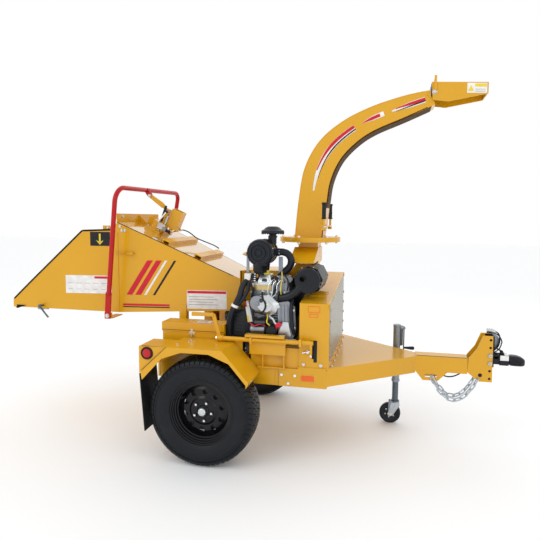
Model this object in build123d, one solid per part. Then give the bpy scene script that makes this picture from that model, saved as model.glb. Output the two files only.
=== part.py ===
from build123d import *
import math
import os

# Towed brush chipper. Millimetres, +X forwards to the hitch, +Y to the right-hand side
# of travel, +Z up. Below, X is counted from the axle line and Z from the ground; save()
# moves every sub-part so that the origin is under the middle of the whole machine.

# ---------------------------------------------------------------- driving dimensions
TYRE_R, TYRE_W, TRACK = 331.5, 205, 1328
RIM_R, SPINDLE_R, STUD_PCD = 178, 22, 114.3
RAIL_Y, RAIL_Z0, RAIL_Z1, WALL = 498, 460, 572, 6
DECK_Z, APEX_X, BEND_X, BEAM_Y = 586, 1257, 720, 54
BEAM_END_X, HITCH_HOLE_X, HITCH_HOLE_Z, HITCH_PITCH = 1585, 1721, 466, 51
COUPLER_TIP_X, MOUTH_X = 1939, -1516
FOLD_X, FOLD_Y, FOLD_Z0, FOLD_Z1 = -755, 326, 835, 1459
END_X, END_Y, END_Z0, END_Z1 = 88, 217, 866, 1083
MOUTH_Y, MOUTH_Z0, MOUTH_Z1 = 435, 860, 915
SHEET = 5
DISC_Y, DISC_Z, DISC_R, DISC_X0, DISC_T, SHAFT_R = 100, 780, 318, 440, 25, 25
CASE_X0, CASE_X1, CASE_R = 405, 538, 343
PIN_X, PIN_Z, APRON_X, APRON_Z = -1300, 873, -1152, 864
CHUTE_X, CHUTE_Y, RING_R, RING_Z = 530, 85, 207, 1348
JACK_X, JACK_Y, JACK_R, CASTER_R, CASTER_TRAIL = 1136, 250, 26, 76, 34
CLUTCH_Y, CLUTCH_Z, CLUTCH_R = -543, 748, 14
LINK_X, LINK_Y, LINK_Z, GRIP_Y = -640, -53, 1650, 180
ENGINE_Y, ENGINE_Z, ENGINE_SHEAVE_R, DISC_SHEAVE_R = -345, 760, 45, 62
BELT_X0, BELT_X1 = 112, 158
AIR_X, AIR_Y, INLET_X = 290, -330, 338
ROOF_TILT = 24        # slope of the hopper's roof, degrees
FIT = 0.05            # radial clearance of a running fit
GAP = 0.3             # clearance between faces that move past each other
CENTRE_X = (COUPLER_TIP_X + MOUTH_X) / 2


# ---------------------------------------------------------------- small helpers
def block(x0, x1, y0, y1, z0, z1):
    middle = Pos((x0 + x1) / 2, (y0 + y1) / 2, (z0 + z1) / 2)
    return middle * Box(abs(x1 - x0), abs(y1 - y0), abs(z1 - z0))


def rod_x(radius, x0, x1, y, z):
    return Pos((x0 + x1) / 2, y, z) * Rot(0, 90, 0) * Cylinder(radius, abs(x1 - x0))


def rod_y(radius, y0, y1, x, z):
    return Pos(x, (y0 + y1) / 2, z) * Rot(90, 0, 0) * Cylinder(radius, abs(y1 - y0))


def rod_z(radius, z0, z1, x, y):
    return Pos(x, y, (z0 + z1) / 2) * Cylinder(radius, abs(z1 - z0))


def prism(points, direction, length):
    """Straight prism on a polygon of 3-D points."""
    outline = Face(Wire.make_polygon([Vector(*p) for p in points], close=True))
    return extrude(outline, amount=length, dir=direction)


def prism_xz(points, y0, y1):
    return prism([(x, y0, z) for x, z in points], (0, 1, 0), y1 - y0)


def prism_xy(points, z0, z1):
    return prism([(x, y, z0) for x, y in points], (0, 0, 1), z1 - z0)


def prism_yz(points, x0, x1):
    return prism([(x0, y, z) for y, z in points], (1, 0, 0), x1 - x0)


def duct(x0, half0, low0, high0, x1, half1, low1, high1):
    """Solid between two upright rectangles across the machine."""
    ends = []
    for x, half, low, high in ((x0, half0, low0, high0), (x1, half1, low1, high1)):
        corners = [(x, -half, low), (x, half, low), (x, half, high), (x, -half, high)]
        ends.append(Face(Wire.make_polygon([Vector(*c) for c in corners], close=True)))
    return loft(ends, ruled=True)


def tube(points, radii, radius):
    """Round bar along straight runs joined by arcs."""
    path = FilletPolyline(*[Vector(*p) for p in points], radius=radii)
    section = Plane(path @ 0, z_dir=path % 0) * Circle(radius)
    return sweep(section, path=path)


def mirrored(shape):
    return mirror(shape, about=Plane.XZ)


def both_sides(shape):
    return [shape, mirrored(shape)]


def bolt(x, y, z, direction, radius=9, head=8):
    """Hexagon bolt head, standing out of a face along direction."""
    seat = Plane(origin=(x, y, z), z_dir=direction)
    return extrude(seat * RegularPolygon(radius, 6), amount=head)


def save(name, solids):
    """Write one sub-part, moved so that the machine is centred on the origin."""
    solids = solids if isinstance(solids, list) else [solids]
    moved = [Pos(-CENTRE_X, 0, 0) * solid for solid in solids]
    shape = moved[0] if len(moved) == 1 else Compound(children=moved)
    export_step(shape, f"parts/{name}.step")


# ---------------------------------------------------------------- running gear
def tyre():
    """Tyre about the Y axis at the near wheel, with three circumferential grooves."""
    half, shoulder = TYRE_W / 2, 16
    profile = [(RIM_R + 1, -68), (RIM_R + 18, -69), (RIM_R + 20, -84), (TYRE_R - 80, -half),
               (TYRE_R - 38, -half + 3),
               (TYRE_R - 7, -half + shoulder + 8), (TYRE_R, -half + 34), (TYRE_R, half - 34),
               (TYRE_R - 7, half - shoulder - 8), (TYRE_R - 38, half - 3), (TYRE_R - 80, half),
               (RIM_R + 20, 84), (RIM_R + 18, 69), (RIM_R + 1, 68), (TYRE_R - 45, 62),
               (TYRE_R - 30, 0), (TYRE_R - 45, -62)]
    outline = Face(Wire.make_polygon([Vector(r, w, 0) for r, w in profile], close=True))
    body = revolve(outline, axis=Axis.Y)
    for offset in (-34, 0, 34):
        groove = rod_y(TYRE_R + 5, offset - 3, offset + 3, 0, 0)
        body -= groove - rod_y(TYRE_R - 7, offset - 4, offset + 4, 0, 0)
    return Pos(0, -TRACK / 2, TYRE_R) * body


def rim():
    """Pressed wheel, hub with a running bore, lug nuts and dust cap."""
    profile = [(RIM_R + 17, -78), (RIM_R + 17, -72), (RIM_R, -70), (RIM_R - 8, -50), (RIM_R - 22, -40),
               (RIM_R - 22, 20), (RIM_R - 8, 45), (RIM_R, 70), (RIM_R + 17, 72), (RIM_R + 17, 78),
               (RIM_R - 6, 76), (RIM_R - 14, 45), (RIM_R - 28, 22), (RIM_R - 28, -42),
               (RIM_R - 14, -52), (RIM_R - 6, -76)]
    outline = Face(Wire.make_polygon([Vector(r, w, 0) for r, w in profile], close=True))
    barrel = revolve(outline, axis=Axis.Y)
    plate = rod_y(RIM_R - 25, -28, -22, 0, 0)
    centre = rod_y(78, -40, -28, 0, 0)
    hub = rod_y(48, -22, 40, 0, 0)
    wheel = barrel + plate + centre + hub
    for k in range(10):
        angle = math.radians(36 * k + 13)
        wheel -= rod_y(16, -60, 0, 118 * math.cos(angle), 118 * math.sin(angle))
    wheel -= rod_y(SPINDLE_R + FIT, -60, 60, 0, 0)
    nuts = []
    for k in range(5):
        angle = math.radians(72 * k - 8)
        reach = STUD_PCD / 2
        nuts.append(bolt(reach * math.cos(angle), -40, reach * math.sin(angle), (0, -1, 0), 12, 20))
    cap = rod_y(30, -72, -40, 0, 0) - rod_y(SPINDLE_R + 4, -68, -39, 0, 0)
    place = Pos(0, -TRACK / 2, TYRE_R)
    return [place * solid for solid in [wheel, cap] + nuts]


def axle():
    """Square torsion tube under the rails with a trailing arm and spindle at each side."""
    beam_x, beam_z = 100, 428
    beam = block(beam_x - 32, beam_x + 32, -515, 515, beam_z - 32, beam_z + 32)
    beam -= block(beam_x - 27, beam_x + 27, -520, 520, beam_z - 27, beam_z + 27)
    arm_outline = [(beam_x + 32, beam_z - 30), (beam_x + 32, beam_z + 30), (beam_x - 30, beam_z + 30),
                   (-32, TYRE_R + 28), (-32, TYRE_R - 32), (28, TYRE_R - 32)]
    arm = prism_xz(arm_outline, -545, -515)
    spindle = rod_y(SPINDLE_R, -TRACK / 2 - 66, -545, 0, TYRE_R)
    stub = rod_y(30, -TRACK / 2 + 42, -545, 0, TYRE_R)
    side = arm + spindle + stub
    return beam + side + mirrored(side)


def fender():
    """Flat-topped folded mudguard with an arched skirt, and the lamp box behind it."""
    skirt_y, inner_y = -776, -RAIL_Y - 6.5
    top = [(-371, 565), (-200, 729), (141, 726), (303, 547), (288, 515)]
    arch = [(285, 534), (183, 652), (60, 700), (-111, 700), (-235, 656), (-363, 519)]
    skirt = prism_xz(top + arch, skirt_y, skirt_y + 4)
    sheet = [(-371, 565), (-200, 729), (141, 726), (303, 547), (288, 515), (284, 517), (298, 547),
             (139, 722), (-198, 725), (-367, 562)]
    cover = prism_xz(sheet, skirt_y, inner_y)
    outline = [(-385, 560), (-385, 722), (-206, 722), (-371, 565)]
    lamp_box = prism_xz(outline, skirt_y + 12, -560)
    lamp_box -= prism_xz([(-381, 570), (-381, 718), (-221, 718)], skirt_y + 16, -556)
    flange = block(-300, 190, inner_y, inner_y + 4, 575, 724)
    guard = skirt + cover + lamp_box + flange
    return guard - rod_y(30, skirt_y, skirt_y + 20, -332, 682)


def lamps():
    """Side marker lamp in its grommet on each lamp box, and a reflector on each rail."""
    lens = rod_y(29, -774, -761, -332, 682)
    rear = rod_x(50, -397, -385.2, -640, 645)
    reflector = block(561, 648, -510.5, -504.2, 500, 538)
    solids = []
    for piece in (lens, rear, reflector):
        solids += both_sides(piece)
    return solids


def mud_flaps():
    flap = prism_xz([(-382, 556), (-377, 556), (-349, 199), (-354, 199)], -772, -540)
    return both_sides(flap)


# ---------------------------------------------------------------- frame
def side_rails():
    rail = block(-385, BEND_X, -RAIL_Y, -RAIL_Y + 50, RAIL_Z0, RAIL_Z1)
    rail -= block(-400, BEND_X + 5, -RAIL_Y + WALL, -RAIL_Y + 60, RAIL_Z0 + WALL, RAIL_Z1 - WALL)
    return both_sides(rail) + clutch_bracket()


def clutch_bracket():
    """Folded guard with ribs on the near rail, and the two ears that carry the clutch tube."""
    face = block(240, 467, -524, -519, 655, 752)
    shelf = block(240, 467, -519, -470, 746, 752)
    foot = block(290, 467, -519, -470, RAIL_Z1, 578)
    guard = face + shelf + foot
    for x in (322, 455):
        guard += block(x, x + 6, -524, -470, RAIL_Z1, 750)
    guard += block(250, 262, -562, -520, CLUTCH_Z - 22, CLUTCH_Z + 22)
    far_ear = block(556, 572, -562, -RAIL_Y, CLUTCH_Z - 22, CLUTCH_Z + 22)
    bore = rod_x(CLUTCH_R + FIT, 200, 600, CLUTCH_Y, CLUTCH_Z)
    return [guard - bore, far_ear - bore]


def cross_members():
    """Cross tubes between the rails, engine bearers and the bearing pedestal."""
    inner = RAIL_Y - WALL
    low, high = RAIL_Z0 + WALL, RAIL_Z1 - WALL
    solids = []
    for x in (-380, 140, 350, 560, 655):
        member = block(x, x + 50, -inner, inner, low, high)
        solids.append(member - block(x + 5, x + 45, -inner - 5, inner + 5, low + 5, high - 5))
    for y in (-440, -300):
        solids.append(block(140, 400, y, y + 40, high, 600))
    pedestal = block(150, 400, 45, 155, high, 700)
    pedestal -= block(160, 390, 55, 145, high - 1, 690)
    solids.append(pedestal - block(90, 186, 0, 200, 670, 900))
    return solids


def tongue_frame():
    """Deck plate and the two tapering sides of the A-shaped drawbar."""
    outer = RAIL_Y + 6
    deck = prism_xy([(540, -outer), (BEND_X, -outer), (APEX_X, -BEAM_Y), (APEX_X, BEAM_Y),
                     (BEND_X, outer), (540, outer)], DECK_Z - 6, DECK_Z)
    apron = block(540, BEND_X - 4, -outer, outer, RAIL_Z1, DECK_Z - 6)
    overlap = block(423, BEND_X, -outer, -RAIL_Y, RAIL_Z0, RAIL_Z1)
    side = prism_xy([(BEND_X, -outer), (APEX_X, -BEAM_Y), (APEX_X, -BEAM_Y + 8),
                     (BEND_X, -outer + 8)], 474, DECK_Z)
    lip = prism_xy([(BEND_X, -outer), (APEX_X, -BEAM_Y), (APEX_X, -BEAM_Y + 40),
                    (BEND_X + 4, -outer + 40)], 474, 480)
    walls = overlap + side + lip
    nose = block(APEX_X - 8, APEX_X, -BEAM_Y, BEAM_Y, 482, DECK_Z)
    return deck + apron + walls + mirrored(walls) + nose


def tongue_beam():
    beam = block(APEX_X, BEAM_END_X, -BEAM_Y, BEAM_Y, 488, 592)
    beam -= block(APEX_X - 1, BEAM_END_X + 1, -BEAM_Y + 6, BEAM_Y - 6, 494, 586)
    gusset = prism_xz([(APEX_X, 488), (1307, 427), (1405, 430), (1462, 488)], -BEAM_Y, -BEAM_Y + 8)
    slot = block(1328, 1388, -BEAM_Y - 1, -BEAM_Y + 9, 448, 470)
    slot += rod_y(11, -BEAM_Y - 1, -BEAM_Y + 9, 1328, 459) + rod_y(11, -BEAM_Y - 1, -BEAM_Y + 9, 1388, 459)
    gusset -= slot
    return beam + gusset + mirrored(gusset)


def hitch_plates():
    """Pair of plates with a row of holes, so that the coupler can be set high or low."""
    outline = [(BEAM_END_X, 500), (1590, 594), (1639, 659), (1674, 747), (1734, 747), (1738, 444),
               (1657, 444)]
    plate = prism_xz(outline, -BEAM_Y, -BEAM_Y + 8)
    for k in range(6):
        plate -= rod_y(8.5, -60, -40, HITCH_HOLE_X, HITCH_HOLE_Z + HITCH_PITCH * k)
    plate -= rod_y(13, -60, -40, 1664, 486)
    return both_sides(plate)


def coupler():
    """Ball coupler: a shank between the plates and a domed socket in front."""
    shank = block(1690, 1770, -45.5, 45.5, 542, 646)
    shank -= block(1689, 1750, -37, 37, 550, 638)
    collar = block(1770, 1845, -36, 36, 556, 622)
    dome = [(1845, 556), (1845, 618), (1900, 606), (COUPLER_TIP_X, 584), (COUPLER_TIP_X, 552),
            (1856, 552)]
    socket = prism_xz(dome, -38, 38)
    corners = socket.edges().filter_by(Axis.Z).sort_by(Axis.X)[-2:]
    socket = fillet(corners, 24)
    body = shank + collar + socket
    body -= Pos(1893, 0, 548) * Sphere(25.8)
    for k in (2, 3):
        body -= rod_y(8.5, -50, 50, HITCH_HOLE_X, HITCH_HOLE_Z + HITCH_PITCH * k)
    body -= block(1775, 1812, -8, 8, 600, 640)
    pin = rod_y(4, -20, 20, 1800, 628)
    lugs = block(1790, 1810, -20, -9, 618, 638) + block(1790, 1810, 9, 20, 618, 638)
    return body + lugs + pin


def coupler_latch():
    """Thumb lever that locks the coupler's clamp."""
    tail = [(1794, 630), (1806, 630), (1806, 644), (1760, 664), (1760, 657), (1780, 646.5)]
    lever = block(1793, 1807, -7, 7, 607, 636) + prism_xz(tail, -7, 7)
    lever += block(1756, 1766, -16, 16, 656, 664)
    return lever - rod_y(4 + FIT, -20, 20, 1800, 628)


def frame_bolts():
    """Bolt heads on the rail plates, fenders and hitch, one solid each."""
    solids = []
    for x, z in ((442, 533), (525, 531), (484, 480)):
        solids += both_sides(bolt(x, -RAIL_Y - 6, z, (0, -1, 0)))
    for k in (2, 3):
        z = HITCH_HOLE_Z + HITCH_PITCH * k
        solids.append(rod_y(8.2, -BEAM_Y, BEAM_Y, HITCH_HOLE_X, z) + bolt(HITCH_HOLE_X, -BEAM_Y, z,
                      (0, -1, 0), 13, 10) + bolt(HITCH_HOLE_X, BEAM_Y, z, (0, 1, 0), 13, 12))
    for x, y in ((-168, -690), (-128, -600)):
        solids += both_sides(bolt(x, y, 729.2, (0, 0, 1), 8, 7))
    return solids


def clutch_lever():
    """Hand lever welded to the end of the clutch tube, with the crank at the other end."""
    shaft = rod_x(CLUTCH_R, 60, 640, CLUTCH_Y, CLUTCH_Z)
    hub = rod_x(18, 38, 76, CLUTCH_Y, CLUTCH_Z)
    leg = prism_xz([(42, 750), (66, 750), (24, 897), (10, 902), (4, 882)], -548, -538)
    handle = prism_xz([(-129, 880), (-129, 903), (12, 903), (16, 884)], -553, -533)
    crank = prism_yz([(-555, 750), (-531, 750), (-537, 655), (-549, 655)], 622, 634)
    return shaft + hub + leg + handle + crank


def battery_box():
    box = block(-353, 63, -491, -362, RAIL_Z1, 764)
    box -= block(-349, 59, -487, -366, RAIL_Z1 + 4, 765)
    for x in (-300, -20):
        box += block(x, x + 30, -362, -344, 735, 776) + rod_x(4, x - 8, x + 38, -350, 770)
    return box


def battery_lid():
    lid = block(-357, 67, -496, -357, 764.3, 821) - block(-352, 62, -491.5, -361.5, 764, 816)
    for x in (-308, -269, -28, 11):
        lid += block(x, x + 7, -360, -344, 764.4, 776)
    for x in (-300, -20):
        lid -= block(x - GAP, x + 30 + GAP, -370, -340, 764, 780)
        lid -= rod_x(4 + FIT, x - 20, x + 50, -350, 770)
    return lid


# ---------------------------------------------------------------- infeed
def hopper_solid(inset):
    """Outer form of the hopper, or its hollow when inset is the sheet thickness."""
    rear = duct(FOLD_X, FOLD_Y - inset, FOLD_Z0 + inset, FOLD_Z1 - inset,
                END_X + (1 if inset else 0), END_Y - inset, END_Z0 + inset, END_Z1 - inset)
    front = duct(MOUTH_X - (1 if inset else 0), MOUTH_Y - inset, MOUTH_Z0 + inset, 1700,
                 FOLD_X, FOLD_Y - inset, FOLD_Z0 + inset, 1700)
    return rear, front


def hopper():
    outer_rear, outer_front = hopper_solid(0)
    inner_rear, inner_front = hopper_solid(SHEET)
    profile = [(FOLD_X, 800), (FOLD_X, FOLD_Z1), (-801, 1409), (-1004, 1401), (MOUTH_X, MOUTH_Z1),
               (MOUTH_X, 800)]
    front = (outer_front - inner_front) & prism_xz(profile, -600, 600)
    body = (outer_rear - inner_rear) + front
    tray_gap = block(MOUTH_X - 10, -1150, -364, 364, 800, 890)
    body -= tray_gap
    upstand = block(FOLD_X - 6, FOLD_X, -FOLD_Y, FOLD_Y, FOLD_Z1 - 8, FOLD_Z1 + 60)
    gusset = prism_xz([(FOLD_X, FOLD_Z1 - 4), (FOLD_X, FOLD_Z1 + 55), (FOLD_X + 100, FOLD_Z1 - 42)], -4, 4)
    body += upstand + gusset
    for x, z, half in ((-424, 1315, 272), (-205, 1217, 240)):
        rib = Pos(x, 0, z + 10) * Rot(0, ROOF_TILT, 0) * Box(56, 2 * half, 30)
        rib -= Pos(x, 0, z + 4) * Rot(0, ROOF_TILT, 0) * Box(44, 2 * half + 2, 26)
        body += rib - outer_rear
    for y in (-366, -180, 150, 336):
        body += rod_y(7, y, y + 30, APRON_X, APRON_Z) + block(APRON_X, -1134, y, y + 30, 848, APRON_Z)
    body += rod_y(4, -366, 366, APRON_X, APRON_Z)
    return body - rod_y(7 + FIT, -430, -370, PIN_X, PIN_Z)


def hopper_posts():
    """Posts from the frame to the hopper floor, and the pivot brackets of the control bar."""
    outer_rear, outer_front = hopper_solid(0)
    solids = []
    for x, y in ((-330, -272), (20, -200)):
        post = block(x, x + 50, y, y + 50, RAIL_Z1, 900) - outer_rear
        solids += both_sides(post)
    bracket = prism_xy([(-800, -300), (-800, -443), (-744, -443), (-744, -300)], 812, 852)
    bracket -= block(-810, -740, -437, -290, 818, 860)
    bracket -= outer_rear
    bracket -= outer_front
    bracket += rod_y(8, -459, -437, -772, 832)
    return solids + both_sides(bracket)


def infeed_apron():
    """Floor of the mouth: it folds up to close the mouth for the road."""
    tray = block(-1512, -1159, -362, 362, 856, 861) + block(-1512, -1507, -362, 362, 861, 878)
    for y in (-335, -149, 119, 305):
        tray += block(-1162, -1145, y, y + 30, 857, 871)
    return tray - rod_y(4 + FIT, -400, 400, APRON_X, APRON_Z)


def apron_pin():
    """Spring plunger through the side of the mouth, with its hanging handle."""
    shaft = rod_y(7, -442, -372, PIN_X, PIN_Z) + rod_y(12, -446, -436, PIN_X, PIN_Z)
    handle = prism_xz([(PIN_X - 3, PIN_Z - 8), (PIN_X + 5, PIN_Z - 4), (PIN_X + 68, 797),
                       (PIN_X + 60, 793)], -445, -437)
    return shaft + handle


def control_bar():
    """U-shaped reversing bar over the hopper, pivoted low down on each side."""
    y, bar_r = 451, 16
    hoop = tube([(-759, -y, 978), (-692, -y, 1690), (-632, y, 1690), (-759, y, 978)], [100, 60], bar_r)
    flat = prism_xz([(-792, 812), (-752, 812), (-740, 992), (-780, 992)], -y - 5, -y + 5)
    flat -= rod_y(8 + FIT, -470, -430, -772, 832)
    plate = [(-680, 1684), (-676, 1706), (-650, 1704), (-627, 1660), (-630, 1640), (-650, 1640)]
    clevis = prism_xz(plate, LINK_Y - 13, LINK_Y - 6) + prism_xz(plate, LINK_Y + 6, LINK_Y + 13)
    pin = rod_y(5, LINK_Y - 17, LINK_Y + 17, LINK_X, LINK_Z)
    return hoop + flat + mirrored(flat) + clevis + pin


def control_link():
    """Bent link from the bar down to the side of the valve."""
    outline = [(LINK_X - 9, LINK_Z - 9), (LINK_X + 9, LINK_Z + 11), (-538, 1600), (-508, 1562),
               (-518, 1552), (-552, 1566)]
    link = prism_xz(outline, LINK_Y - 5, LINK_Y + 5)
    link += rod_y(14, LINK_Y - 5.5, LINK_Y + 5.5, LINK_X, LINK_Z)
    return link - rod_y(5 + FIT, LINK_Y - 10, LINK_Y + 10, LINK_X, LINK_Z)


def control_tower():
    """Bracket that stands square on the hopper roof and carries the valve."""
    outer_rear, outer_front = hopper_solid(0)
    tilt = Rot(0, ROOF_TILT, 0)
    base = Pos(-590, 0, 1398) * tilt * Box(110, 110, 34) - outer_rear
    column = Pos(-553, 0, 1481) * tilt * Box(40, 60, 160)
    case = Pos(-462, 0, 1478) * tilt * (Box(84, 74, 140) - Box(74, 64, 145))
    arm = Pos(-516.6, 0, 1486.7) * tilt * Box(26, 60, 12)
    return base + column + case + arm


def control_valve():
    """Valve body and its spool, on the near face of the column."""
    tilt = Rot(0, ROOF_TILT, 0)
    spool = Pos(-514, -43.3, 1515) * tilt * Cylinder(6, 30)
    return Pos(-533, -43.3, 1472) * tilt * Cylinder(13, 90) + spool


def valve_hose_route():
    return [(-436, 46, 1404), (-404, 52, 1398), (-368, 62, 1374), (-338, 84, 1342), (-300, 118, 1322),
            (-262, 148, 1302), (-222, 172, 1284), (-196, 186, 1262)]


# ---------------------------------------------------------------- feed works
def feed_housing():
    taper_x, half, roof = 150, 150, 1140
    outer = duct(END_X, END_Y, END_Z0 - 10, roof, taper_x, half, END_Z0 - 10, roof)
    outer += block(taper_x, CASE_X0, -half, half, END_Z0 - 10, roof)
    inner = duct(END_X + SHEET, END_Y - SHEET, END_Z0 - 5, roof - SHEET, taper_x, half - SHEET,
                 END_Z0 - 5, roof - SHEET)
    inner += block(taper_x, CASE_X0 - SHEET, -half + SHEET, half - SHEET, END_Z0 - 5, roof - SHEET)
    body = outer - inner
    body -= block(END_X - 5, END_X + 10, -END_Y + 8, END_Y - 8, END_Z0 - 5, END_Z1 - 5)
    body -= block(CASE_X0 - 10, CASE_X0 + 5, -82, 82, END_Z0 - 5, 1000)
    for side in (-1, 1):
        body += rod_y(10, side * 104, side * 186, 120, 1000)
    return body


def roller_yoke():
    """Swinging arms that carry the feed roller, hinged behind the hopper."""
    outline = [(102, 1004), (106, 1018), (184, 1100), (216, 1098), (264, 994), (272, 962), (252, 946),
               (228, 956), (120, 982), (104, 992)]
    arm = prism_xz(outline, -113, -105)
    arm -= rod_y(10 + FIT, -120, -100, 120, 1000)
    arm -= rod_y(15 + FIT, -120, -100, 250, 971)
    tie = rod_y(11, -110, 110, 200, 1086)
    motor = rod_y(32, -143, -113.2, 250, 971) - rod_y(18, -121, -110, 250, 971)
    return arm + mirrored(arm) + tie + motor


def feed_roller():
    """Toothed roller that pulls the brush in."""
    drum = rod_y(66, -100, 100, 250, 971)
    for k in range(8):
        bar = Pos(250, 0, 971) * Rot(0, 45 * k, 0) * Pos(76, 0, 0) * Box(28, 196, 10)
        drum += bar
    return drum + rod_y(15, -118, 118, 250, 971)


def bed_knife():
    """Fixed knife under the throat, inside the case wall."""
    return block(CASE_X0 + 6, 431, -84, 84, 846, 860)


# ---------------------------------------------------------------- cutting disc
def disc_housing():
    """Drum-shaped case round the disc, with the neck that rises to the chute."""
    case = rod_x(CASE_R, CASE_X0, CASE_X1, DISC_Y, DISC_Z)
    hollow = rod_x(CASE_R - 6, CASE_X0 + 6, CASE_X1 - 6, DISC_Y, DISC_Z)
    lift = prism_xz([(CASE_X0, 880), (CASE_X1, 880), (CASE_X1, 1120), (602, 1200), (602, 1300),
                     (458, 1300), (458, 1200), (CASE_X0, 1120)], -92, 92)
    lift_hollow = prism_xz([(CASE_X0 + 6, 880), (CASE_X1 - 6, 880), (CASE_X1 - 6, 1122), (596, 1202),
                            (596, 1294), (464, 1294), (464, 1202), (CASE_X0 + 6, 1118)], -86, 86)
    neck = block(464, 596, -86, 86, 1300, RING_Z - 12) - block(470, 590, -80, 80, 1290, RING_Z)
    ring = rod_z(RING_R, RING_Z - 12, RING_Z - GAP, CHUTE_X, 0)
    ring -= block(470, 590, -80, 80, RING_Z - 13, RING_Z)
    roof = prism_yz([(-92, 1300), (-92, 1292), (-300, 1206), (-300, 1214)], 440, 602)
    side = prism_yz([(-92, 1300), (-92, 1210), (-300, 1206), (-300, 1214)], 596, 602)
    body = case + lift - hollow - lift_hollow
    body += neck + ring + roof + side
    body -= block(470, 590, -80, 80, 1290, RING_Z)
    body -= block(CASE_X0 - 5, CASE_X0 + 8, -82, 82, 862, 1000)
    return body - rod_x(SHAFT_R + 3, CASE_X0 - 5, CASE_X0 + 8, DISC_Y, DISC_Z)


def cutter_disc():
    """Heavy disc with throwing paddles behind it, on its shaft with the driven sheave."""
    disc = rod_x(DISC_R, DISC_X0, DISC_X0 + DISC_T, DISC_Y, DISC_Z)
    disc += rod_x(70, DISC_X0 + DISC_T, 500, DISC_Y, DISC_Z)
    for k in range(4):
        paddle = Rot(90 * k, 0, 0) * block(DISC_X0 + DISC_T, 522, -5, 5, 60, DISC_R - 4)
        disc += Pos(0, DISC_Y, DISC_Z) * paddle
    shaft = rod_x(SHAFT_R, 100, DISC_X0 + DISC_T, DISC_Y, DISC_Z)
    return disc + shaft + grooved_sheave(DISC_SHEAVE_R, DISC_Y, DISC_Z)


def grooved_sheave(radius, y, z):
    """Two-groove pulley in the belt plane."""
    wheel = rod_x(radius, BELT_X0, BELT_X1, y, z)
    for x in (124, 146):
        wheel -= rod_x(radius + 5, x - 6, x + 6, y, z) - rod_x(radius - 6, x - 6, x + 6, y, z)
    return wheel


def disc_knives():
    knives = []
    for k in range(2):
        knife = Rot(180 * k + 35, 0, 0) * block(DISC_X0 - 7, DISC_X0, -38, 38, 100, DISC_R - 8)
        knives.append(Pos(0, DISC_Y, DISC_Z) * knife)
    return knives


def disc_bearings():
    solids = []
    for x in (196, 362):
        housing = block(x, x + 36, DISC_Y - 55, DISC_Y + 55, 700, DISC_Z)
        housing += rod_x(50, x, x + 36, DISC_Y, DISC_Z)
        solids.append(housing - rod_x(SHAFT_R + FIT, x - 1, x + 37, DISC_Y, DISC_Z))
    return solids


def engine_pulley():
    sheave = grooved_sheave(ENGINE_SHEAVE_R, ENGINE_Y, ENGINE_Z)
    return sheave + rod_x(15, 112, 240, ENGINE_Y, ENGINE_Z)


def drive_belts():
    """Two V-belts from the engine sheave to the disc sheave."""
    def loop(offset):
        circles = []
        for radius, y, z in ((ENGINE_SHEAVE_R, ENGINE_Y, ENGINE_Z), (DISC_SHEAVE_R, DISC_Y, DISC_Z)):
            circles.append(Pos(y, z) * Circle(radius + offset))
        return make_hull(circles[0].edges() + circles[1].edges())
    belt = extrude(loop(1.5) - loop(-5.5), amount=9)
    onto_yz = Plane(origin=(0, 0, 0), x_dir=(0, 1, 0), z_dir=(1, 0, 0))
    return [Pos(x, 0, 0) * (onto_yz * belt) for x in (119.5, 141.5)]


def belt_guard():
    outline = [(-436, 640), (-436, 1040), (-300, 1080), (-240, 1010), (-222, 852), (192, 852),
               (192, 690), (-180, 640)]
    hollow = [(-432, 644), (-432, 1036), (-300, 1075), (-244, 1007), (-226, 848), (188, 848),
              (188, 694), (-182, 644)]
    guard = prism_yz(outline, 96, 184) - prism_yz(hollow, 100, 180)
    guard -= rod_x(SHAFT_R + 4, 170, 190, DISC_Y, DISC_Z)
    return guard - rod_x(20, 170, 190, ENGINE_Y, ENGINE_Z)


# ---------------------------------------------------------------- engine
def engine_block():
    """Crankcase with flywheel housing and sump, on feet on the bearers."""
    case = block(207, 396, -440, -255, 700, 930)
    flywheel = rod_x(97, 396, 500, ENGINE_Y, 800)
    sump = prism_xz([(215, 700), (240, 640), (380, 640), (392, 700)], -410, -285)
    body = case + flywheel + sump
    for x in (215, 350):
        for y in (-440, -300):
            body += block(x, x + 40, y, y + 40, 600.3, 702)
    body -= rod_x(15 + FIT, 200, 242, ENGINE_Y, ENGINE_Z)
    starter = rod_x(27, 232, 328, -468, 800) + block(290, 350, -470, -440, 782, 818)
    return [body, starter]


def cylinder_head():
    head = block(215, 470, -430, -265, 930.2, 1050)
    cover = block(235, 412, -405, -285, 1050, 1110)
    manifold = block(412, 470, -400, -300, 1050, 1075)
    return head + cover + manifold


def alternator():
    body = rod_y(48, -492, -446, 280, 968)
    fan = rod_y(40, -500, -492, 280, 968)
    bracket = block(250, 316, -446, -440.2, 868, 1010)
    return body + fan + bracket


def air_cleaner():
    can = rod_y(82, -487, -289, AIR_X, 1280)
    valve = rod_z(30, 1146, 1215, AIR_X - 14, -456)
    outlet = rod_x(25, 350, 376, AIR_Y, 1278)
    strap = block(262, 318, -400, -362, 1110.2, 1225)
    inlet = rod_z(27, 1310, 1362, INLET_X, AIR_Y)
    return can + valve + outlet + strap + inlet


def precleaner():
    """Cap and neck that stand over the inlet of the air cleaner."""
    neck = rod_z(23, 1362.2, 1392, INLET_X, AIR_Y)
    cap = rod_z(76, 1392, 1412, INLET_X, AIR_Y)
    dome = Pos(INLET_X, AIR_Y, 1412) * Cone(70, 34, 30, align=(Align.CENTER, Align.CENTER, Align.MIN))
    return neck + cap + dome


def intake_hose():
    points = [(376.2, AIR_Y, 1278), (440, AIR_Y, 1278), (468, AIR_Y, 1215), (438, AIR_Y, 1156),
              (388, AIR_Y, 1146), (388, AIR_Y, 1110.2)]
    return tube(points, [34, 34, 34, 24], 22)


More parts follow.
